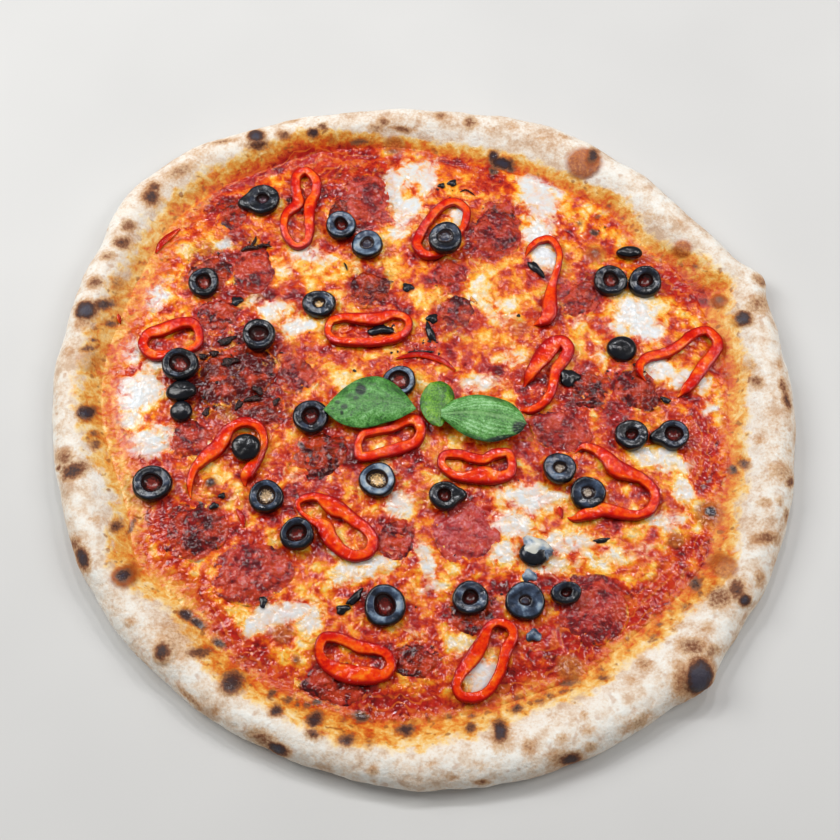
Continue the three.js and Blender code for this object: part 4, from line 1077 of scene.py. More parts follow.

# %% [markdown]
# ## Red pepper rings
# A pepper ring is cut across the fruit, so its outline is the fruit's lobed section, squashed and
# softened by the heat. The skin outside is dark red and shiny, the cut flesh on top is brighter and
# turns more orange towards the inner edge, partly as a painted highlight, and the inner wall and the
# lower part of the section are painted darker red, as painted shade. The position across the
# section, kept on the mesh, tells them apart.

# %% Pepper finish and rings
PEPPERS = [    # whether it is a closed ring, then points along the middle of the flesh with its width
    (True, [(-54.5, 127.3, 4.5), (-49.8, 122, 4.8), (-49.8, 115, 4.8), (-52, 109, 6), (-52.3, 102, 5.5),
            (-52, 95, 5), (-52.8, 89, 4), (-57.5, 86.3, 3.4), (-62, 90.5, 3.8), (-63.8, 97, 4.2),
            (-62.6, 104, 4.6), (-58, 109.5, 6), (-58.4, 114.5, 5), (-59.3, 120, 5), (-58.7, 125, 4.8)]),
    (True, [(14.5, 110, 4.4), (19.5, 106.5, 4.2), (19.6, 100, 4), (16, 92, 3.5), (9.5, 83.5, 3.5),
            (2, 81.3, 4), (-2.6, 85.5, 4.6), (-2, 92, 5), (3, 101, 4.5), (8.5, 107.5, 4.4)]),
    (False, [(46, 81.5, 2.4), (49, 86, 3.2), (53, 89.2, 3.4), (58, 90, 3.6), (61.3, 85, 3.4),
             (61.5, 79, 3.2), (59.5, 71, 3.8), (57.5, 64, 5), (56.5, 57, 7), (56, 51.5, 7.6),
             (53, 47.8, 5), (48.5, 46.5, 2.5)]),
    (True, [(-123.6, 36, 4.8), (-121.5, 41.3, 5.2), (-115, 43.5, 6.6), (-107, 46.3, 5.6),
            (-101.5, 46, 4.8), (-99, 41, 4.2), (-100, 35.5, 4), (-105, 32, 4), (-112, 30.8, 4.6),
            (-119, 30.6, 5)]),
    (True, [(-42.3, 43.5, 3.6), (-40.5, 48.2, 4), (-34, 49.3, 4.4), (-27, 48.5, 6), (-20, 48.6, 6.4),
            (-13.5, 51.3, 4.6), (-8, 49.5, 4), (-6.3, 45.5, 3.8), (-9, 40.8, 4), (-15, 38, 4.4),
            (-23, 37, 4.4), (-31, 36.9, 4.2), (-38, 37.8, 4), (-41.5, 40.5, 3.8)]),
    (False, [(43.8, 16, 2.5), (45.8, 20, 5), (49, 25, 6.5), (52.5, 30, 8), (56.5, 35.5, 8),
             (61, 37.5, 6.5), (63.8, 33.5, 6), (61.5, 28, 6), (57.8, 23, 5.5), (56.6, 17, 4.6),
             (55, 11.5, 4.4), (51, 6.5, 4.2), (46, 4, 3.6), (41.5, 5, 2.6)]),
    (False, [(97, 18.2, 2.2), (94.6, 21.5, 3.6), (95, 26, 4.4), (98.5, 29.6, 5), (104.5, 31.3, 5.2),
             (110.5, 33.8, 5), (115.5, 38, 5), (120.5, 42.3, 4.8), (125.5, 43.6, 4.8), (129.2, 40, 4.8),
             (129.5, 35.5, 5.4), (126.6, 30.5, 6), (122.5, 25.5, 6), (118.5, 19.5, 5.6),
             (114.5, 14.5, 4.6), (110.5, 10.8, 2.8)]),
    (False, [(-98.2, -36.5, 2.6), (-98.6, -30, 3.2), (-97, -23.5, 4), (-92.5, -17.8, 6.5),
             (-87.5, -12.8, 7.5), (-84.3, -6.5, 6), (-80, -3, 5), (-75, -2.2, 4.6), (-70.3, -4.5, 4.2),
             (-68.2, -10, 3.8), (-69.2, -16, 4), (-72, -21.5, 5.5), (-75, -27, 6), (-75.5, -31, 4)]),
    (True, [(-28, -12.5, 3.8), (-26, -8, 4), (-20, -6.3, 3.8), (-13.5, -4.4, 4), (-8, -1.2, 5.4),
            (-3, -1.6, 5.6), (-1.2, -6.5, 4.6), (-3.5, -11.2, 5), (-9, -13.5, 6), (-15.5, -15.8, 5.6),
            (-22, -17.8, 5), (-27, -17.6, 4.6)]),
    (True, [(7.6, -21.5, 4), (9, -17.4, 4), (14.5, -16.6, 4.4), (20.5, -18.4, 4.8), (25.3, -19.6, 4.8),
            (30, -17.4, 5), (35.5, -16.4, 4.4), (37.8, -20.5, 4.2), (36.5, -25.5, 4.8), (31.5, -27.5, 6),
            (25.5, -26.8, 8.4), (18.5, -27.6, 5.6), (12, -26.2, 4.4)]),
    (False, [(64.5, -15.5, 2.4), (68, -13.3, 3.6), (73.5, -14.8, 4.6), (78, -19, 6.6), (82, -23.8, 9),
             (87.5, -26, 7), (92.5, -28, 5.4), (96.6, -32.5, 4.6), (97.2, -38, 4.6), (94.3, -42.8, 4.8),
             (89, -45, 4.4), (82.5, -44, 5.4), (76, -42.5, 6.4), (69.5, -44.2, 6), (63.5, -45.8, 4.2),
             (60, -45, 2.4)]),
    (True, [(-53, -39.5, 2.6), (-49.5, -37, 3.6), (-44, -37, 4.6), (-37.8, -41.2, 8.4), (-32.5, -44, 6.2),
            (-27.5, -48, 5.6), (-22.8, -52, 5), (-21, -57, 5), (-23.5, -61.8, 5.4), (-29, -62.8, 5.4),
            (-34.5, -60, 5.8), (-38.5, -55.5, 6.8), (-41.5, -50, 7), (-46, -47.5, 3.4),
            (-50.5, -44, 2.2)]),
    (True, [(-41.8, -102.5, 4.4), (-40.2, -98, 4.6), (-35, -97.6, 4.8), (-29.5, -99.6, 5),
            (-24.5, -101.8, 6), (-18.5, -102.6, 4.8), (-14, -105.6, 4.4), (-13.2, -110, 4.6),
            (-16.5, -113.2, 6), (-23, -113.4, 8), (-30, -112.6, 8), (-36.5, -110, 6.6),
            (-40.6, -106.6, 5)]),
    (True, [(30.5, -91.3, 3.6), (35.2, -93.2, 4.4), (36, -97.5, 4.6), (33.3, -102.5, 5), (31.6, -108, 4.8),
            (29.6, -113.5, 4.6), (26.3, -118.8, 4.4), (21, -121.8, 4.4), (15.2, -121.3, 4.4),
            (12.8, -117.5, 4.2), (14.8, -112.3, 5), (19, -106.6, 6.4), (22.8, -101, 6.6), (25, -96, 5),
            (26.8, -92.8, 4)])]
PEPPER_HEIGHT, PEPPER_SHRINK = 3.4, 0.95    # height in mm, and the share of the listed width
PEPPER_READ_AT = 10.4                       # the height in mm at which the rings' flesh was read
PEPPER_REST = 9                             # steps each way over which a ring bridges what it lies on
SLICE_DISCS = np.array([(x, y, r * s, r / s, turn, 1.0) for x, y, r, s, turn in SLICES])


def make_pepper_skin():
    material, tree, shader = new_material("roast_red_pepper")
    broad, fine = grain(tree, 6, 3.0, 0.4), grain(tree, 1.4, 3.0)
    drops = grain(tree, 3.0, 0.8, 0.3, shift=0.2)
    inward, up = mask_of(tree, "across"), mask_of(tree, "up")
    # the flesh turns more orange towards the inner edge, partly a painted highlight along it
    tone = weighted(tree, 0.01, (broad, 0.7), (fine, 0.3), (inward, 0.08))
    colour = ramp(tree, tone, (0.38, 200, 16, 1), (0.48, 226, 46, 2), (0.58, 238, 82, 6),
                  (0.68, 244, 128, 28))
    outer = step(tree, weighted(tree, 0.0, (inward, -1.0), (fine, 0.3)), 0.55, 1.0)
    colour = mix(tree, outer, colour, seen(158, 4, 2))
    # the inner wall is painted darker red: painted shade
    inner = step(tree, weighted(tree, 0.0, (inward, 1.0), (fine, 0.3)), 0.75, 1.12)
    colour = mix(tree, inner, colour, seen(176, 12, 2))
    # the lower part of the section is painted darker red: painted shade
    colour = mix(tree, step(tree, up, 0.2, -0.8), colour, seen(120, 4, 2))
    connect(tree, shader, Base_Color=colour, Roughness=weighted(tree, 0.06, (fine, 0.08)),
            Specular_IOR_Level=0.24, Normal=bumps(tree, (drops, 0.6), (fine, 0.1)))
    return material


def resting_on(x, y):
    """The even bed, and on it the clear pepperoni slices."""
    return bed_even(x, y) + 1.1 * cover(x, y, SLICE_DISCS, 0.3)


def pepper_body(closed, points, seed, count=220):
    """A ribbon of the listed widths that rises and sinks with what it rests on."""
    path = curve(points, count, closed)
    along = around(count)[0]
    ends = 1.0 if closed else smooth(0, 0.07, np.minimum(along, TAU - along) / TAU)
    width = PEPPER_SHRINK * path[:, 2] * (1 + 0.10 * rough(path[:, 0], path[:, 1], 5.0, seed + 2))
    path = path[:, :2] - [0, slide(PEPPER_READ_AT)]
    path = path + headings(path, closed) * (0.3 * rough(path[:, 0], path[:, 1], 3.5, seed))[:, None]
    padded = np.pad(resting_on(path[:, 0], path[:, 1]), PEPPER_REST, "wrap" if closed else "edge")
    bridge = 2 * PEPPER_REST + 1
    rest = np.convolve(padded, np.ones(bridge) / bridge, "valid")
    low = rest - 0.3 + 0.35 * np.sin(2 * along + seed) - 1.6 * (1 - ends)
    height = PEPPER_HEIGHT * (1 + 0.12 * np.sin(3 * along + 2 * seed)) * (0.6 + 0.4 * ends)
    return ribbon(path, low, width * (0.35 + 0.65 * ends), height, closed)


red_pepper = make_pepper_skin()
for number, (closed, points) in enumerate(PEPPERS, 1):
    made = pepper_body(closed, points, number)
    make_piece(f"pepper_ring_{number}", *made, red_pepper, "red_pepper", f"red_pepper_{number}")
print("pepper rings:", len(PEPPERS))

# %% [markdown]
# ## Black olives
# A sliced olive is a short ring: glossy black skin outside, a dark cut face whose blue-grey and pale
# patches are painted reflection, and a hole filled with juice or cheese. The hole's dark edge is
# painted shade, and its darkest fills are partly dark juice, partly painted shade. All are one
# revolved section. A table gives the section as shares of the outer radius and the hole, so each
# olive only says how wide it is, how deep its hole is filled, and with what.

# %% Olive finish and shapes
OLIVES = [    # centre, half-widths, hole, fill (share of height), tint of the fill, tilt, turn, tail, reach
    (-74, 110, 7.8, 7.7, 2.6, .4, .62, 3, 40, 190, 4.2), (-37.5, 96, 7, 7.3, 3.0, .25, .35, 4, 160, 0, 0),
    (-25.5, 86, 7.2, 7.4, 3.0, .6, .65, 3, 300, 0, 0), (10, 89, 7.6, 8, 3.2, .6, .65, 5, 10, 0, 0),
    (-98.5, 66, 7, 7.2, 3.4, .3, .45, 4, 60, 0, 0), (-46.5, 55, 7.7, 6.4, 2.6, .5, .95, 4, 120, 0, 0),
    (-72.5, 39.5, 7.3, 7.8, 3.8, .3, .2, 4, 200, 0, 0), (-106, 24.8, 8.2, 7.4, 4.4, .3, .4, 4, 90, 0, 0),
    (-105, 12.2, 6.8, 4.8, 0, 0, 0, 8, 0, 0, 0), (-104.5, 2.4, 5, 4.7, 0, 0, 0, 5, 30, 0, 0),
    (-10.5, 16.6, 7.4, 7.2, 4.3, .4, .42, 5, 20, 0, 0), (-48.5, -0.5, 7.8, 8, 3.8, .25, .35, 3, 270, 0, 0),
    (-75.5, -14.5, 6.3, 6.1, 0, 0, 0, 5, 70, 0, 0), (-114.5, -31.5, 8.6, 8, 4.2, .3, .4, 3, 20, 0, 0),
    (-66, -37.5, 7.4, 7.3, 3.8, .5, .9, 3, 140, 0, 0), (-52.4, -54, 7.2, 7, 3.8, .3, .35, 7, 40, 0, 0),
    (-19.5, -30, 7.9, 7.8, 4.2, .5, .95, 4, 10, 0, 0), (8.8, -37, 6.6, 6.4, 2.8, .3, .3, 4, 180, 4, 3.2),
    (57.5, -24.5, 7.2, 7, 2.6, .5, .85, 6, 200, 0, 0), (69, -36, 7.5, 7.3, 2.6, .6, .85, 4, 50, 0, 0),
    (84, 67, 7.6, 7.4, 3.4, .3, .4, 4, 100, 0, 0), (99.5, 66.5, 7.4, 7.4, 3.2, .3, .3, 8, 60, 0, 0),
    (93.5, 82, 6, 3.0, 0, 0, 0, 0, 20, 0, 0), (87.3, 32.8, 6.7, 5.9, 0, 0, 0, 6, 110, 0, 0),
    (89, -9, 7.2, 7, 2.6, .3, .3, 4, 330, 0, 0), (107, -9, 6.6, 6.9, 3.4, .3, .3, 4, 0, 185, 4.0),
    (-15.8, -85.3, 8.6, 8.9, 4.3, .25, .35, 3, 60, 0, 0), (19, -82, 7.5, 7.3, 3.2, .3, .2, 3, 240, 0, 0),
    (41.3, -83.4, 8.2, 8.1, 2.2, .75, .65, 3, 80, 0, 0), (45.6, -62.6, 6.1, 5.6, 0, 0, 0, 5, 0, 0, 0),
    (58, -79.8, 6.3, 5, 2.2, .3, .25, 10, 0, 0, 0)]
OLIVE_HEIGHT = 4.2
OLIVE_OFFSET = 1.4     # added to the listed y, mm: the middle of a slice was read a little low
TAIL_WIDTH = 0.38      # radians, of the end that a few slices draw out into
RING_SECTION = np.array([    # share of the outer radius, share of the hole, height, cut face, in the hole
    (.50, 0, .00, 1, 0), (.86, 0, .00, 1, 0), (.92, 0, .03, .5, 0), (.96, 0, .10, 0, 0),
    (.985, 0, .22, 0, 0), (1.0, 0, .38, 0, 0), (1.0, 0, .55, 0, 0), (.99, 0, .70, 0, 0),
    (.968, 0, .82, 0, 0), (.94, 0, .91, 0, 0), (.90, 0, .965, .1, 0), (.86, 0, .99, .6, 0),
    (.80, .05, 1.0, 1, 0), (.62, .26, .985, 1, 0), (.44, .48, .97, 1, 0), (.26, .70, .965, 1, 0),
    (.12, .90, .965, .9, 0), (.05, 1.02, .94, .5, .2), (0, 1.02, .88, .1, .6), (0, .97, .74, 0, 1)])
CAP_SECTION = np.array([
    (.50, 0, .00, 1, 0), (.84, 0, .02, .5, 0), (.95, 0, .14, 0, 0), (1.0, 0, .34, 0, 0),
    (.985, 0, .54, 0, 0), (.93, 0, .71, 0, 0), (.84, 0, .84, 0, 0), (.70, 0, .93, 0, 0),
    (.52, 0, .98, 0, 0), (.32, 0, 1.0, 0, 0), (.12, 0, .99, 0, 0)])


def make_olive_skin():
    material, tree, shader = new_material("black_olive")
    broad, fine = grain(tree, 4, 2.0, 0.4), grain(tree, 0.9, 4.0)
    drops = grain(tree, 4.6, 0.8, 0.3, shift=0.2)
    skin = ramp(tree, broad, (0.35, 5, 5, 8), (0.6, 16, 17, 24))
    # the cut face: dark flesh, with blue-grey and pale blue-white patches that are painted reflection of
    # the soft light; pale shares also stand for smeared cheese
    flesh = ramp(tree, weighted(tree, 0.14, (drops, 0.48), (fine, 0.12), (mask_of(tree, "pale"), 0.30)),
                 (0.44, 8, 10, 16), (0.54, 22, 28, 42), (0.64, 56, 70, 92), (0.72, 124, 144, 164),
                 (0.86, 206, 206, 196))
    # the fill's colour by its tint; the darkest tints are partly dark juice, partly painted shade in the
    # deep holes
    hole_fill_and_painted_shade = ramp(tree, mask_of(tree, "tint"), (0.1, 12, 10, 12), (0.35, 110, 22, 16), (0.5, 168, 64, 50),
                   (0.65, 48, 60, 78), (0.8, 140, 146, 150), (0.95, 232, 190, 130))
    hole_fill_and_painted_shade = lay(tree, step(tree, fine, 0.62, 0.42), 0.45, hole_fill_and_painted_shade, seen(60, 18, 14))
    # the hole's edge is painted dark: painted shade in the recess
    outside_painted_shade = step(tree, weighted(tree, -0.08, (mask_of(tree, "core"), 0.7), (fine, 0.6)), 0.35, 0.65)
    hole_fill_and_painted_shade = mix(tree, outside_painted_shade, seen(34, 12, 10), hole_fill_and_painted_shade)
    colour = mix(tree, mask_of(tree, "face"), skin, flesh)
    colour = mix(tree, mask_of(tree, "hole"), colour, hole_fill_and_painted_shade)
    connect(tree, shader, Base_Color=colour, Roughness=weighted(tree, 0.14, (fine, 0.14)),
            Specular_IOR_Level=0.4, Normal=bumps(tree, (drops, 0.5), (fine, 0.04)))
    return material


# pale share of each cut face: painted blue-white sheen on most, smeared cheese on some
PALE_AND_SHEENED_OLIVES = {2: .6, 3: .8, 4: .35, 6: .3, 8: .25, 10: .2, 11: .7, 12: .3, 14: .3, 15: .5, 16: .4, 17: .85,
               19: .5, 20: .4, 26: .3, 27: .6, 28: .5, 29: .6, 30: .3, 31: .2}    # the rest have 0.1


def olive_body(row, seed, low, pale, columns=96):
    """The section turned round the olive's axis, with a lumpy outline, tilted and set down."""
    centre_x, centre_y, half_x, half_y, hole, fill_share, tint, tilt, turn, tail, reach = row
    angle = around(columns)
    lumps = 0.022 * np.sin(3 * angle + seed)
    lumps = lumps + 0.03 * rough(5 * np.cos(angle) + seed, 5 * np.sin(angle), 2, seed)
    outer = half_x * (1 + lumps) + reach * np.exp(-(angle_from(tail, angle) / TAIL_WIDTH) ** 2)
    inner = hole * (1 + 0.07 * np.sin(2 * angle + 2 * seed) + 0.03 * np.sin(3 * angle + seed))
    share, share_in, height, face, pit = (RING_SECTION if hole else CAP_SECTION).T[..., None]
    radius = share * outer + share_in * inner
    if hole:
        depth = np.linspace(0.66, fill_share, 4) if fill_share < 0.6 else np.array([0.8, fill_share])
        radius = np.concatenate([radius, np.linspace(0.93, 0.45, len(depth))[:, None] * inner])
        height = np.append(height, depth)[:, None]
        face, pit = (np.append(a, np.full(len(depth), b))[:, None] for a, b in ((face, 0), (pit, 1)))
    else:
        # on a cap the top takes the cut face's colours by its pale share: a painted sheen on its top
        face = np.maximum(face, pale * smooth(0.5, 1.0, height))
    x, y = radius * np.cos(angle), radius * np.sin(angle) * (half_y / half_x)
    z = height * OLIVE_HEIGHT + 0 * angle
    z = z + 0.16 * rough(x + 9 * seed, y, 3.0, seed) * smooth(0.5, 0.9, z / OLIVE_HEIGHT)
    heading = math.radians(turn)
    z = z + math.tan(math.radians(tilt)) * (x * math.cos(heading) + y * math.sin(heading))
    core = 1 - np.clip(np.hypot(x / inner, y / inner / (half_y / half_x)), 0, 1) if hole else 1 + 0 * z
    x, y = x + centre_x, y + centre_y + OLIVE_OFFSET - slide(low + OLIVE_HEIGHT)
    points, quads, ends = revolve(np.stack([x, y, z + low], -1))
    paint = {"face": with_poles(face + 0 * x, 1, 0), "hole": with_poles(pit + 0 * x, 0, 1 if hole else 0),
             "core": with_poles(core, 0, 1),
             "tint": np.full(len(points), tint), "pale": np.full(len(points), pale)}
    return points, quads, ends, paint


def olive_low(number):
    """How low an olive lies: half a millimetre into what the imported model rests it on. One that is
    perched above 8.2 mm sinks a third of the way back."""
    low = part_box(f"olive_{number}")[0][2] / MM
    return low - 0.5 - 0.35 * max(low - 8.2, 0)


olive = make_olive_skin()
for number, row in enumerate(OLIVES, 1):
    made = olive_body(row, number, olive_low(number), PALE_AND_SHEENED_OLIVES.get(number, 0.1))
    make_piece(f"olive_piece_{number}", *made, olive, "olive", f"olive_{number}")
print("olives:", len(OLIVES))

# %% [markdown]
# ## Basil
# A leaf is a thin sheet between three curves: its two edges and its midrib. The sheet bulges between
# the side veins and dips along them, and its edges droop. Fresh basil is satin green and paler along
# the veins, and the bulges are painted lighter, a painted highlight. These leaves lay on the hot
# cheese, so they have wilted dark spots and tips, and long bands along the right leaf's edges are
# painted darker.

# %% Leaf finish and shapes
LEAVES = {    # upper edge, midrib and lower edge, from the tip to the stalk
    "basil_left": [
        [(-43, 3.5), (-38.5, 9.5), (-33, 15), (-27, 18.5), (-20, 19.5), (-14, 17), (-9.5, 13), (-6, 8.5),
         (-3.5, 4.5)],
        [(-43, 3.5), (-38.5, 5), (-33.5, 6.4), (-28, 7.6), (-22, 8), (-16, 7.6), (-11, 6.6), (-7, 5.4),
         (-3, 4)],
        [(-43, 3.5), (-39.5, 0), (-35.5, -3), (-30, -4.8), (-24, -5), (-17, -3), (-11, -1), (-6.5, 1.5),
         (-3.5, 3.5)]],
    "basil_middle": [
        [(3, 16.5), (8, 17), (12, 14), (13.5, 9), (12, 4), (10.5, 0), (8, -4)],
        [(3, 16.5), (6, 14.5), (7.5, 11), (7.5, 7), (7, 3), (6.5, -1), (7, -4.5)],
        [(3, 16.5), (0, 12.5), (-1.5, 8), (-1.2, 4), (0.5, 0), (3.5, -3.5), (6.5, -4.5)]],
    "basil_right": [
        [(44, -3), (41.5, 2.6), (37, 7), (30, 9.6), (23, 10.6), (17, 9.6), (12, 7.4), (7.5, 3.5)],
        [(44, -3), (40, -1.6), (35.5, -0.2), (30, 1.2), (24, 2.2), (18, 2.4), (13, 2), (7.5, 1.5)],
        [(44, -3), (41.5, -7), (36.5, -9.6), (30, -11.6), (23, -10.8), (17, -8.2), (12.5, -4.8), (7.5, 0)]]}
LEAF_SPOTS = np.array([
    (-27, 13, 2.4, 2.6, 0, .9), (-29, 9, 1.4, 1.2, 0, .6), (-34, 5, 1.6, 1.6, 0, .7),
    (-32, 10, 2, 1.2, 30, .5), (-37, 7, 1.4, 1.0, 0, .6), (-22, 16, 2, 1.0, 0, .5),
    (-25, 3, 1.6, 1, 0, .35), (41, -5, 3.4, 3.4, 0, .9), (-35, 2, .8, 1.2, 0, .7), (-31, 1, .7, .7, 0, .6),
    (-20, 9, .7, 1.0, 0, .5), (-12, 13, 3.4, 1.2, -35, .45), (-28, 16, 1.2, .6, 0, .6),
    (38, -11, 2.4, 1.6, 20, .9), (-39, 4, .7, .7, 0, .6), (-17, 3, .7, .7, 0, .4),
    # (33, -10), (22, -9.6) and (30, 8.6) darken long bands along the right leaf's folded edges
    (33, -10, 7, 1.4, 10, .8), (22, -9.6, 6, 1.2, -25, .5), (30, 8.6, 6, 1.2, -15, .4),
    (4, -3, 1.6, 2, 0, .4)])
LEAF_VEINS = {    # how far the side veins sweep, how many there are, how clear they are
    "basil_left": (0.42, 6.5, 0.35), "basil_middle": (0.3, 4.5, 0.3), "basil_right": (1.3, 4.2, 0.9)}
LEAF_THICKNESS = 0.45


def make_leaf_skin():
    material, tree, shader = new_material("basil_leaf")
    broad, fine = grain(tree, 6, 3.0, 0.3), grain(tree, 0.8, 3.0)
    # raised bulges between the veins are painted lighter: a painted highlight
    tone = weighted(tree, -0.12, (broad, 0.55), (fine, 0.5), (mask_of(tree, "raised"), 0.22))
    grown = ramp(tree, tone, (0.32, 30, 80, 24), (0.43, 62, 126, 44), (0.53, 96, 160, 78),
                 (0.66, 152, 204, 144))
    young = ramp(tree, tone, (0.32, 30, 78, 0), (0.44, 76, 136, 0), (0.58, 126, 180, 30))
    colour = mix(tree, mask_of(tree, "young"), grown, young)
    spotted = step(tree, weighted(tree, -0.5, (mask_of(tree, "spot"), 1.0), (fine, 1.0)), 0.1, 0.8)
    colour = mix(tree, spotted, colour, seen(10, 34, 18))
    colour = lay(tree, mask_of(tree, "vein"), 0.5, colour, seen(134, 186, 112))
    colour = lay(tree, mask_of(tree, "under"), 0.6, colour, seen(150, 180, 120))
    connect(tree, shader, Base_Color=colour, Roughness=0.36, Specular_IOR_Level=0.5,
            Normal=bumps(tree, (broad, 0.6), (fine, 0.2)))
    return material


def leaf_body(name, curves, seed, rows=90, columns=41):
    """Sheet between three curves: over the midrib it arches, and it bulges between slanting veins."""
    upper, rib, lower = (curve(points, rows)[:, None] for points in curves)
    sweep, count, clear = LEAF_VEINS[name]
    s = np.linspace(-1, 1, columns)[None, :, None]
    t = np.linspace(0, 1, rows)[:, None]
    across = s[..., 0] + 0 * t
    aside = np.abs(across)
    blend = signed_power(s, 0.92)
    x, y = np.moveaxis(rib + np.where(s > 0, blend * (upper - rib), -blend * (lower - rib)), -1, 0)
    ridge = np.abs(((t + sweep * aside) * count % 1) - 0.5) * 2
    vein = smooth(0.80, 0.97, ridge) * smooth(0.02, 0.2, 1 - aside) + smooth(0.10, 0.03, aside)
    spine = np.sin(np.pi * np.clip(t, 0, 1)) ** 0.5
    raised = (1 - ridge ** 2) * np.sin(np.pi * aside)
    bulge = (0.55 * clear * raised - 0.35 * smooth(0.16, 0.0, aside)) * spine
    droop = -1.7 * aside ** 2.2 * spine + 0.35 * rough(x, y, 6.0, seed) - 0.8 * (1 - t) ** 2
    wave = 0.45 * np.sin(9 * t + 2 * seed + 2 * across) * across ** 2 * spine
    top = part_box(name)[1][2] / MM - 0.4 + bulge * 0.6 + droop + wave
    spot = cover(x, y, LEAF_SPOTS, 1.0)
    y = y - slide(top)
    above = np.stack([x, y, top], -1)
    below = np.stack([x, y, top - LEAF_THICKNESS * (1 - 0.6 * aside)], -1)
    points, quads, ends = revolve(np.concatenate([above, below[:, ::-1]], axis=1))
    paint = {"vein": vein * clear, "spot": spot, "raised": raised * clear}
    paint = {label: with_poles(np.concatenate([a, a[:, ::-1]], 1)) for label, a in paint.items()}
    paint["under"] = with_poles(np.concatenate([0 * across, 0 * across + 1], 1))
    paint["young"] = np.full(len(points), float(name == "basil_middle"))
    return points, quads, ends, paint


basil = make_leaf_skin()
for seed, (name, curves) in enumerate(LEAVES.items(), 1):
    made = leaf_body(name, curves, seed)
    make_piece(name.replace("basil", "leaf"), *made, basil, "basil", name)
print("leaves:", len(LEAVES))

# %% [markdown]
# ## Small pieces
# Between the toppings lie scraps: bits of olive, strips of pepper skin, burnt bits of meat, charred
# crumbs and twigs, and two dabs of cheese on an olive. They are real things with a shape, so they are
# small closed bodies, and all of one kind are one mesh.

# %% Scraps
OLIVE_BITS = [    # centre, half-widths, turn, height
    (63.5, 19.5, 4.5, 4.2, 0, 2.6), (51, 74.5, 5.4, 1.9, -48, 2.2), (-19, 43, 6, 2.4, 5, 2.2),
    (3, 42, 1.8, 5, 20, 2.2), (4, 49, 2.6, 2.4, 0, 1.8), (-1, 32, 5.2, 1.2, 0, 1.2),
    (-28, -81, 4.5, 1.8, 50, 2.4), (-33, -86, 3, 2, 20, 1.8), (43.5, -71.5, 3.1, 2.6, 0, 1.6),
    (44.5, -97, 3.2, 2.6, 10, 1.6), (8.5, 119.5, 1.7, 1.4, 0, 1.2), (13.5, 121, 2.2, 1.8, 20, 1.4),
    (-65.5, -83, 1.6, 2.6, 0, 1.4), (-7, 65, 2.6, 2.2, 0, 1.6), (-83.5, 58, 2.8, 2.2, 30, 1.6),
    (-88, -41, 2.2, 1.4, 20, 1.2), (-85, -36, 1.6, 1.3, 0, 1.2), (105, 8.5, 2.4, 1.3, -30, 1.6),
    (74, -56, 3.4, 1.1, 10, 1.0), (46.4, -59.8, 6.2, 4.9, -10, 5.0), (50.4, -62.5, 2.6, 2.6, 30, 4.6)]
PEPPER_STRIPS = [    # width, then points along the middle
    (3.4, [(-122, 84), (-119, 90), (-112, 97)]),
    (2.6, [(-78.5, -42), (-76, -46), (-75, -50)]), (2.0, [(-136, 51), (-135, 47)]),
    (3.0, [(-12, 29), (-2, 31), (8, 28), (14, 23)]), (2.2, [(57, -41), (58, -46)])]
PALE_BITS = {9: 0.9, 10: 0.7, 20: 1.2, 21: 1.0}    # two are blue-grey, and two are the dabs of cheese
BURNT_BITS = [    # the same, for bits of meat that burnt
    (-87, 38, 4.2, 1.8, 25, 1.4), (-85, 27, 4, 2.0, 15, 1.4), (-72, 13, 3.0, 1.6, -40, 1.4),
    (-74, 9, 4, 1.4, 10, 1.2), (-80, 6, 2.6, 1.4, 60, 1.2), (-92, 31, 2, 1.6, 0, 1.4),
    (-97, 30, 1.8, 1.5, 0, 1.4), (-94, 3, 2.2, 1.4, 70, 1.2), (-64, 8, 2.4, 1.2, 60, 1.2)]
FLECK_AREAS = [    # centre, half-widths, how many
    (-82, 22, 22, 24, 16), (-100, 72, 10, 12, 10), (84, 96, 14, 16, 5), (-15, 45, 14, 6, 6),
    (-74, 88, 8, 4, 8), (12, 118, 8, 5, 6), (2, 36, 7, 8, 10), (84, 22, 10, 10, 10), (-40, 100, 16, 14, 8),
    (0, -10, 90, 100, 24)]
TWIGS = [    # the same
    (2.2, [(-83, 84), (-79, 85.5), (-75, 85)]), (1.6, [(-79, 85), (-77, 89), (-76.5, 92)]),
    (1.2, [(-77, 85.5), (-73, 86.5), (-69, 86)]), (1.0, [(-36, 78), (-35, 76), (-34.5, 74)]),
    (0.8, [(17, 116), (20, 117), (24, 114)])]


def lump_body(x, y, half_x, half_y, turn, height, seed, columns=20, pale=0.0):
    """A flattened, uneven ball that sits in the cheese."""
    angle = around(columns)
    rise = np.linspace(-1, 1, 10)[1:-1, None]
    uneven = 1 + 0.16 * np.sin(3 * angle + seed) + 0.1 * np.sin(5 * angle + 2 * seed)
    radius = np.sqrt(1 - rise ** 2) * uneven
    across, along = turned(half_x * radius * np.cos(angle), half_y * radius * np.sin(angle), turn)
    low = float(resting_on(np.array(x, float), np.array(y, float))) - 0.15
    z = low + height * (0.35 + 0.65 * rise) + 0 * angle
    rings = np.stack([x + across, y + along, z], -1)
    tip = np.array([0, 0, 0.1 * height])
    points, quads, ends = revolve(rings, rings[0].mean(0) - tip, rings[-1].mean(0) + tip)
    flat = dict.fromkeys(("hole", "tint", "core"), 0.0) | {"face": 0.6 + 0.4 * pale, "pale": pale}
    return points, quads, ends, {label: np.full(len(points), value) for label, value in flat.items()}


def strip_body(width, points, height=1.4, columns=12):
    """A short open ribbon, pressed into the cheese."""
    path = curve(points, 40)
    ends = np.sin(np.pi * np.clip(np.linspace(0, 1, len(path)), 0.04, 0.96)) ** 0.5
    low = resting_on(path[:, 0], path[:, 1]) - 0.2
    made = ribbon(path, low, width * ends, height * (0.5 + 0.5 * ends), False, columns, 0.8)
    return *made[:3], {"across": made[3]["across"] * 0.2 - 0.7, "up": made[3]["up"]}


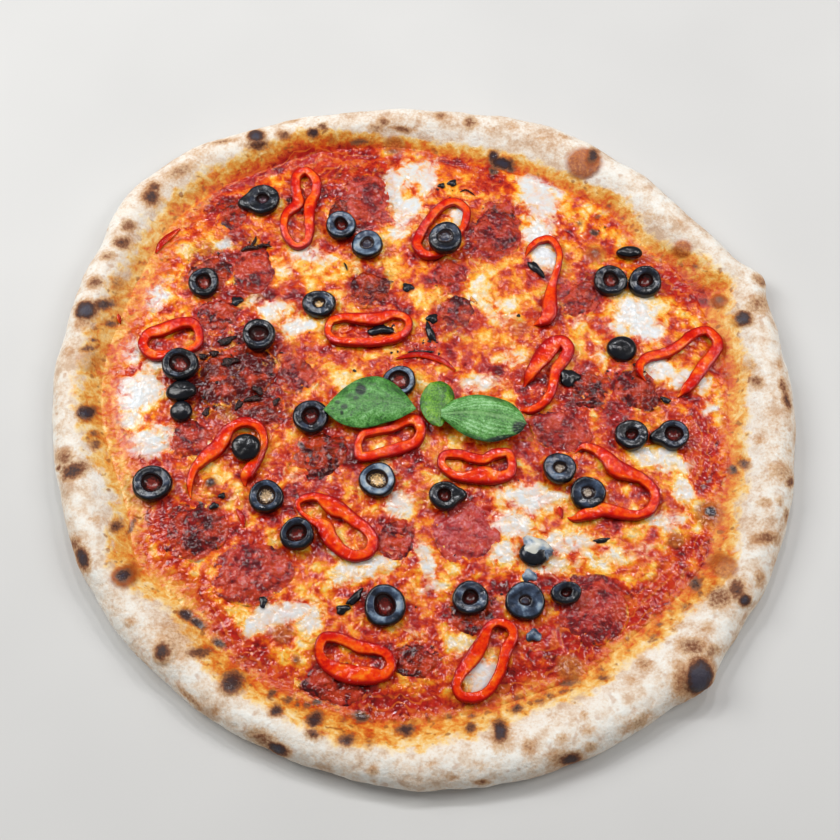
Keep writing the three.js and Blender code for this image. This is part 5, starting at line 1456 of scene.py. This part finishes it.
def make_charred():
    material, tree, shader = new_material("charred_crumbs")
    tone = ramp(tree, grain(tree, 1.5, 3.0), (0.4, 16, 7, 6), (0.6, 56, 20, 15))
    connect(tree, shader, Base_Color=tone, Roughness=0.22, Specular_IOR_Level=0.3,
            Normal=bumps(tree, (grain(tree, 0.6, 3.0), 0.4)))
    return material


scraps = joined([lump_body(*row, seed, pale=PALE_BITS.get(seed, 0.0))
                 for seed, row in enumerate(OLIVE_BITS, 1)])
make_piece("olive_scraps", *scraps, olive, "olive")
strips = joined([strip_body(*row) for row in PEPPER_STRIPS])
make_piece("pepper_scraps", *strips, red_pepper, "red_pepper")

chance = np.random.default_rng(11)
flecks = [lump_body(*row, seed) for seed, row in enumerate(BURNT_BITS, 1)]
for centre_x, centre_y, half_x, half_y, count in FLECK_AREAS:
    for _ in range(count):
        spread = chance.normal(0, 0.45, 2)
        size = chance.uniform(0.35, 1.0)
        flecks.append(lump_body(centre_x + spread[0] * half_x, centre_y + spread[1] * half_y, size,
                                size * chance.uniform(0.4, 1), chance.uniform(0, 180), size * 0.6,
                                len(flecks), 8))
twigs = joined([strip_body(*row, height=1.1, columns=8) for row in TWIGS])
charred = make_charred()
make_piece("charred_flecks", *joined(flecks)[:3], {}, charred, "melted_cheese")
make_piece("charred_twigs", *twigs[:3], {}, charred, "basil")
print("scraps:", len(OLIVE_BITS), "olive,", len(PEPPER_STRIPS), "pepper,", len(flecks), "burnt")

# %% [markdown]
# ## Light, floor and camera
# A plain pale floor and a soft studio light. Two soft panels stand to the sides, out of the way of
# the mirror direction, so that wet cheese and peppers keep their colour. Three small lamps behind
# the pizza stand near the mirror direction and give the oil its fine glints. The camera looks down
# at 65 degrees, as the photograph does.

# %% Studio
def area_light(name, place, size, watts, colour):
    """A square lamp at a place in metres, turned to face the pizza."""
    lamp = bpy.data.lights.new(name, "AREA")
    lamp.size, lamp.energy, lamp.color = size, watts, colour
    made = in_scene(name, lamp)
    aim = np.array(place) / np.linalg.norm(place)
    made.location = place
    made.rotation_euler = (math.acos(aim[2]), 0, math.atan2(aim[1], aim[0]) + math.pi / 2)


def make_floor(half=1.5):
    """A wide plain sheet under the pizza, 3 m across."""
    mesh = bpy.data.meshes.new("studio_floor")
    corners = [(-half, -half, 0), (half, -half, 0), (half, half, 0), (-half, half, 0)]
    mesh.from_pydata(corners, [], [(0, 1, 2, 3)])
    material, tree, shader = new_material("pale_floor")
    tone = ramp(tree, grain(tree, 120, 2.0), (0.3, 206, 206, 204), (0.7, 212, 212, 210))
    connect(tree, shader, Base_Color=tone, Roughness=0.9)
    mesh.materials.append(material)
    in_scene("studio_floor", mesh)


def make_camera(distance=0.650, lens_mm=64.63, sensor_mm=36):
    """A camera in metres from the middle of the pizza, 65 degrees above the floor."""
    target = np.array([-0.95, -3.05, 8.0]) * MM
    back = np.array([0, -math.cos(VIEW_ELEVATION), math.sin(VIEW_ELEVATION)])
    data = bpy.data.cameras.new("camera")
    data.lens, data.sensor_width = lens_mm, sensor_mm
    camera = in_scene("camera", data)
    camera.location = target + distance * back
    camera.rotation_euler = (math.pi / 2 - VIEW_ELEVATION, 0, 0)
    bpy.context.scene.camera = camera


def make_world():
    """Even pale light from all round."""
    world = bpy.data.worlds.new("studio")
    world.use_nodes = True
    tree = world.node_tree
    connect(tree, tree.nodes["Background"].inputs, Color=(0.97, 0.96, 0.97, 1), Strength=0.26)
    bpy.context.scene.world = world


make_floor()
make_world()
make_camera()
area_light("left_panel", (-0.75, 0.30, 0.80), 0.5, 6.8, (1.0, 0.99, 0.97))
area_light("right_panel", (0.75, 0.10, 0.80), 0.4, 3.6, (1.0, 0.99, 0.97))
area_light("glint_lamp_back", (0.03, 0.46, 0.85), 0.09, 1.5, (0.97, 0.97, 1.0))
area_light("glint_lamp_left", (-0.34, 0.42, 0.80), 0.09, 1.2, (0.95, 0.97, 1.0))
area_light("glint_lamp_right", (0.36, 0.40, 0.80), 0.09, 1.0, (1.0, 0.96, 0.98))
bpy.context.scene.view_settings.view_transform = "Standard"
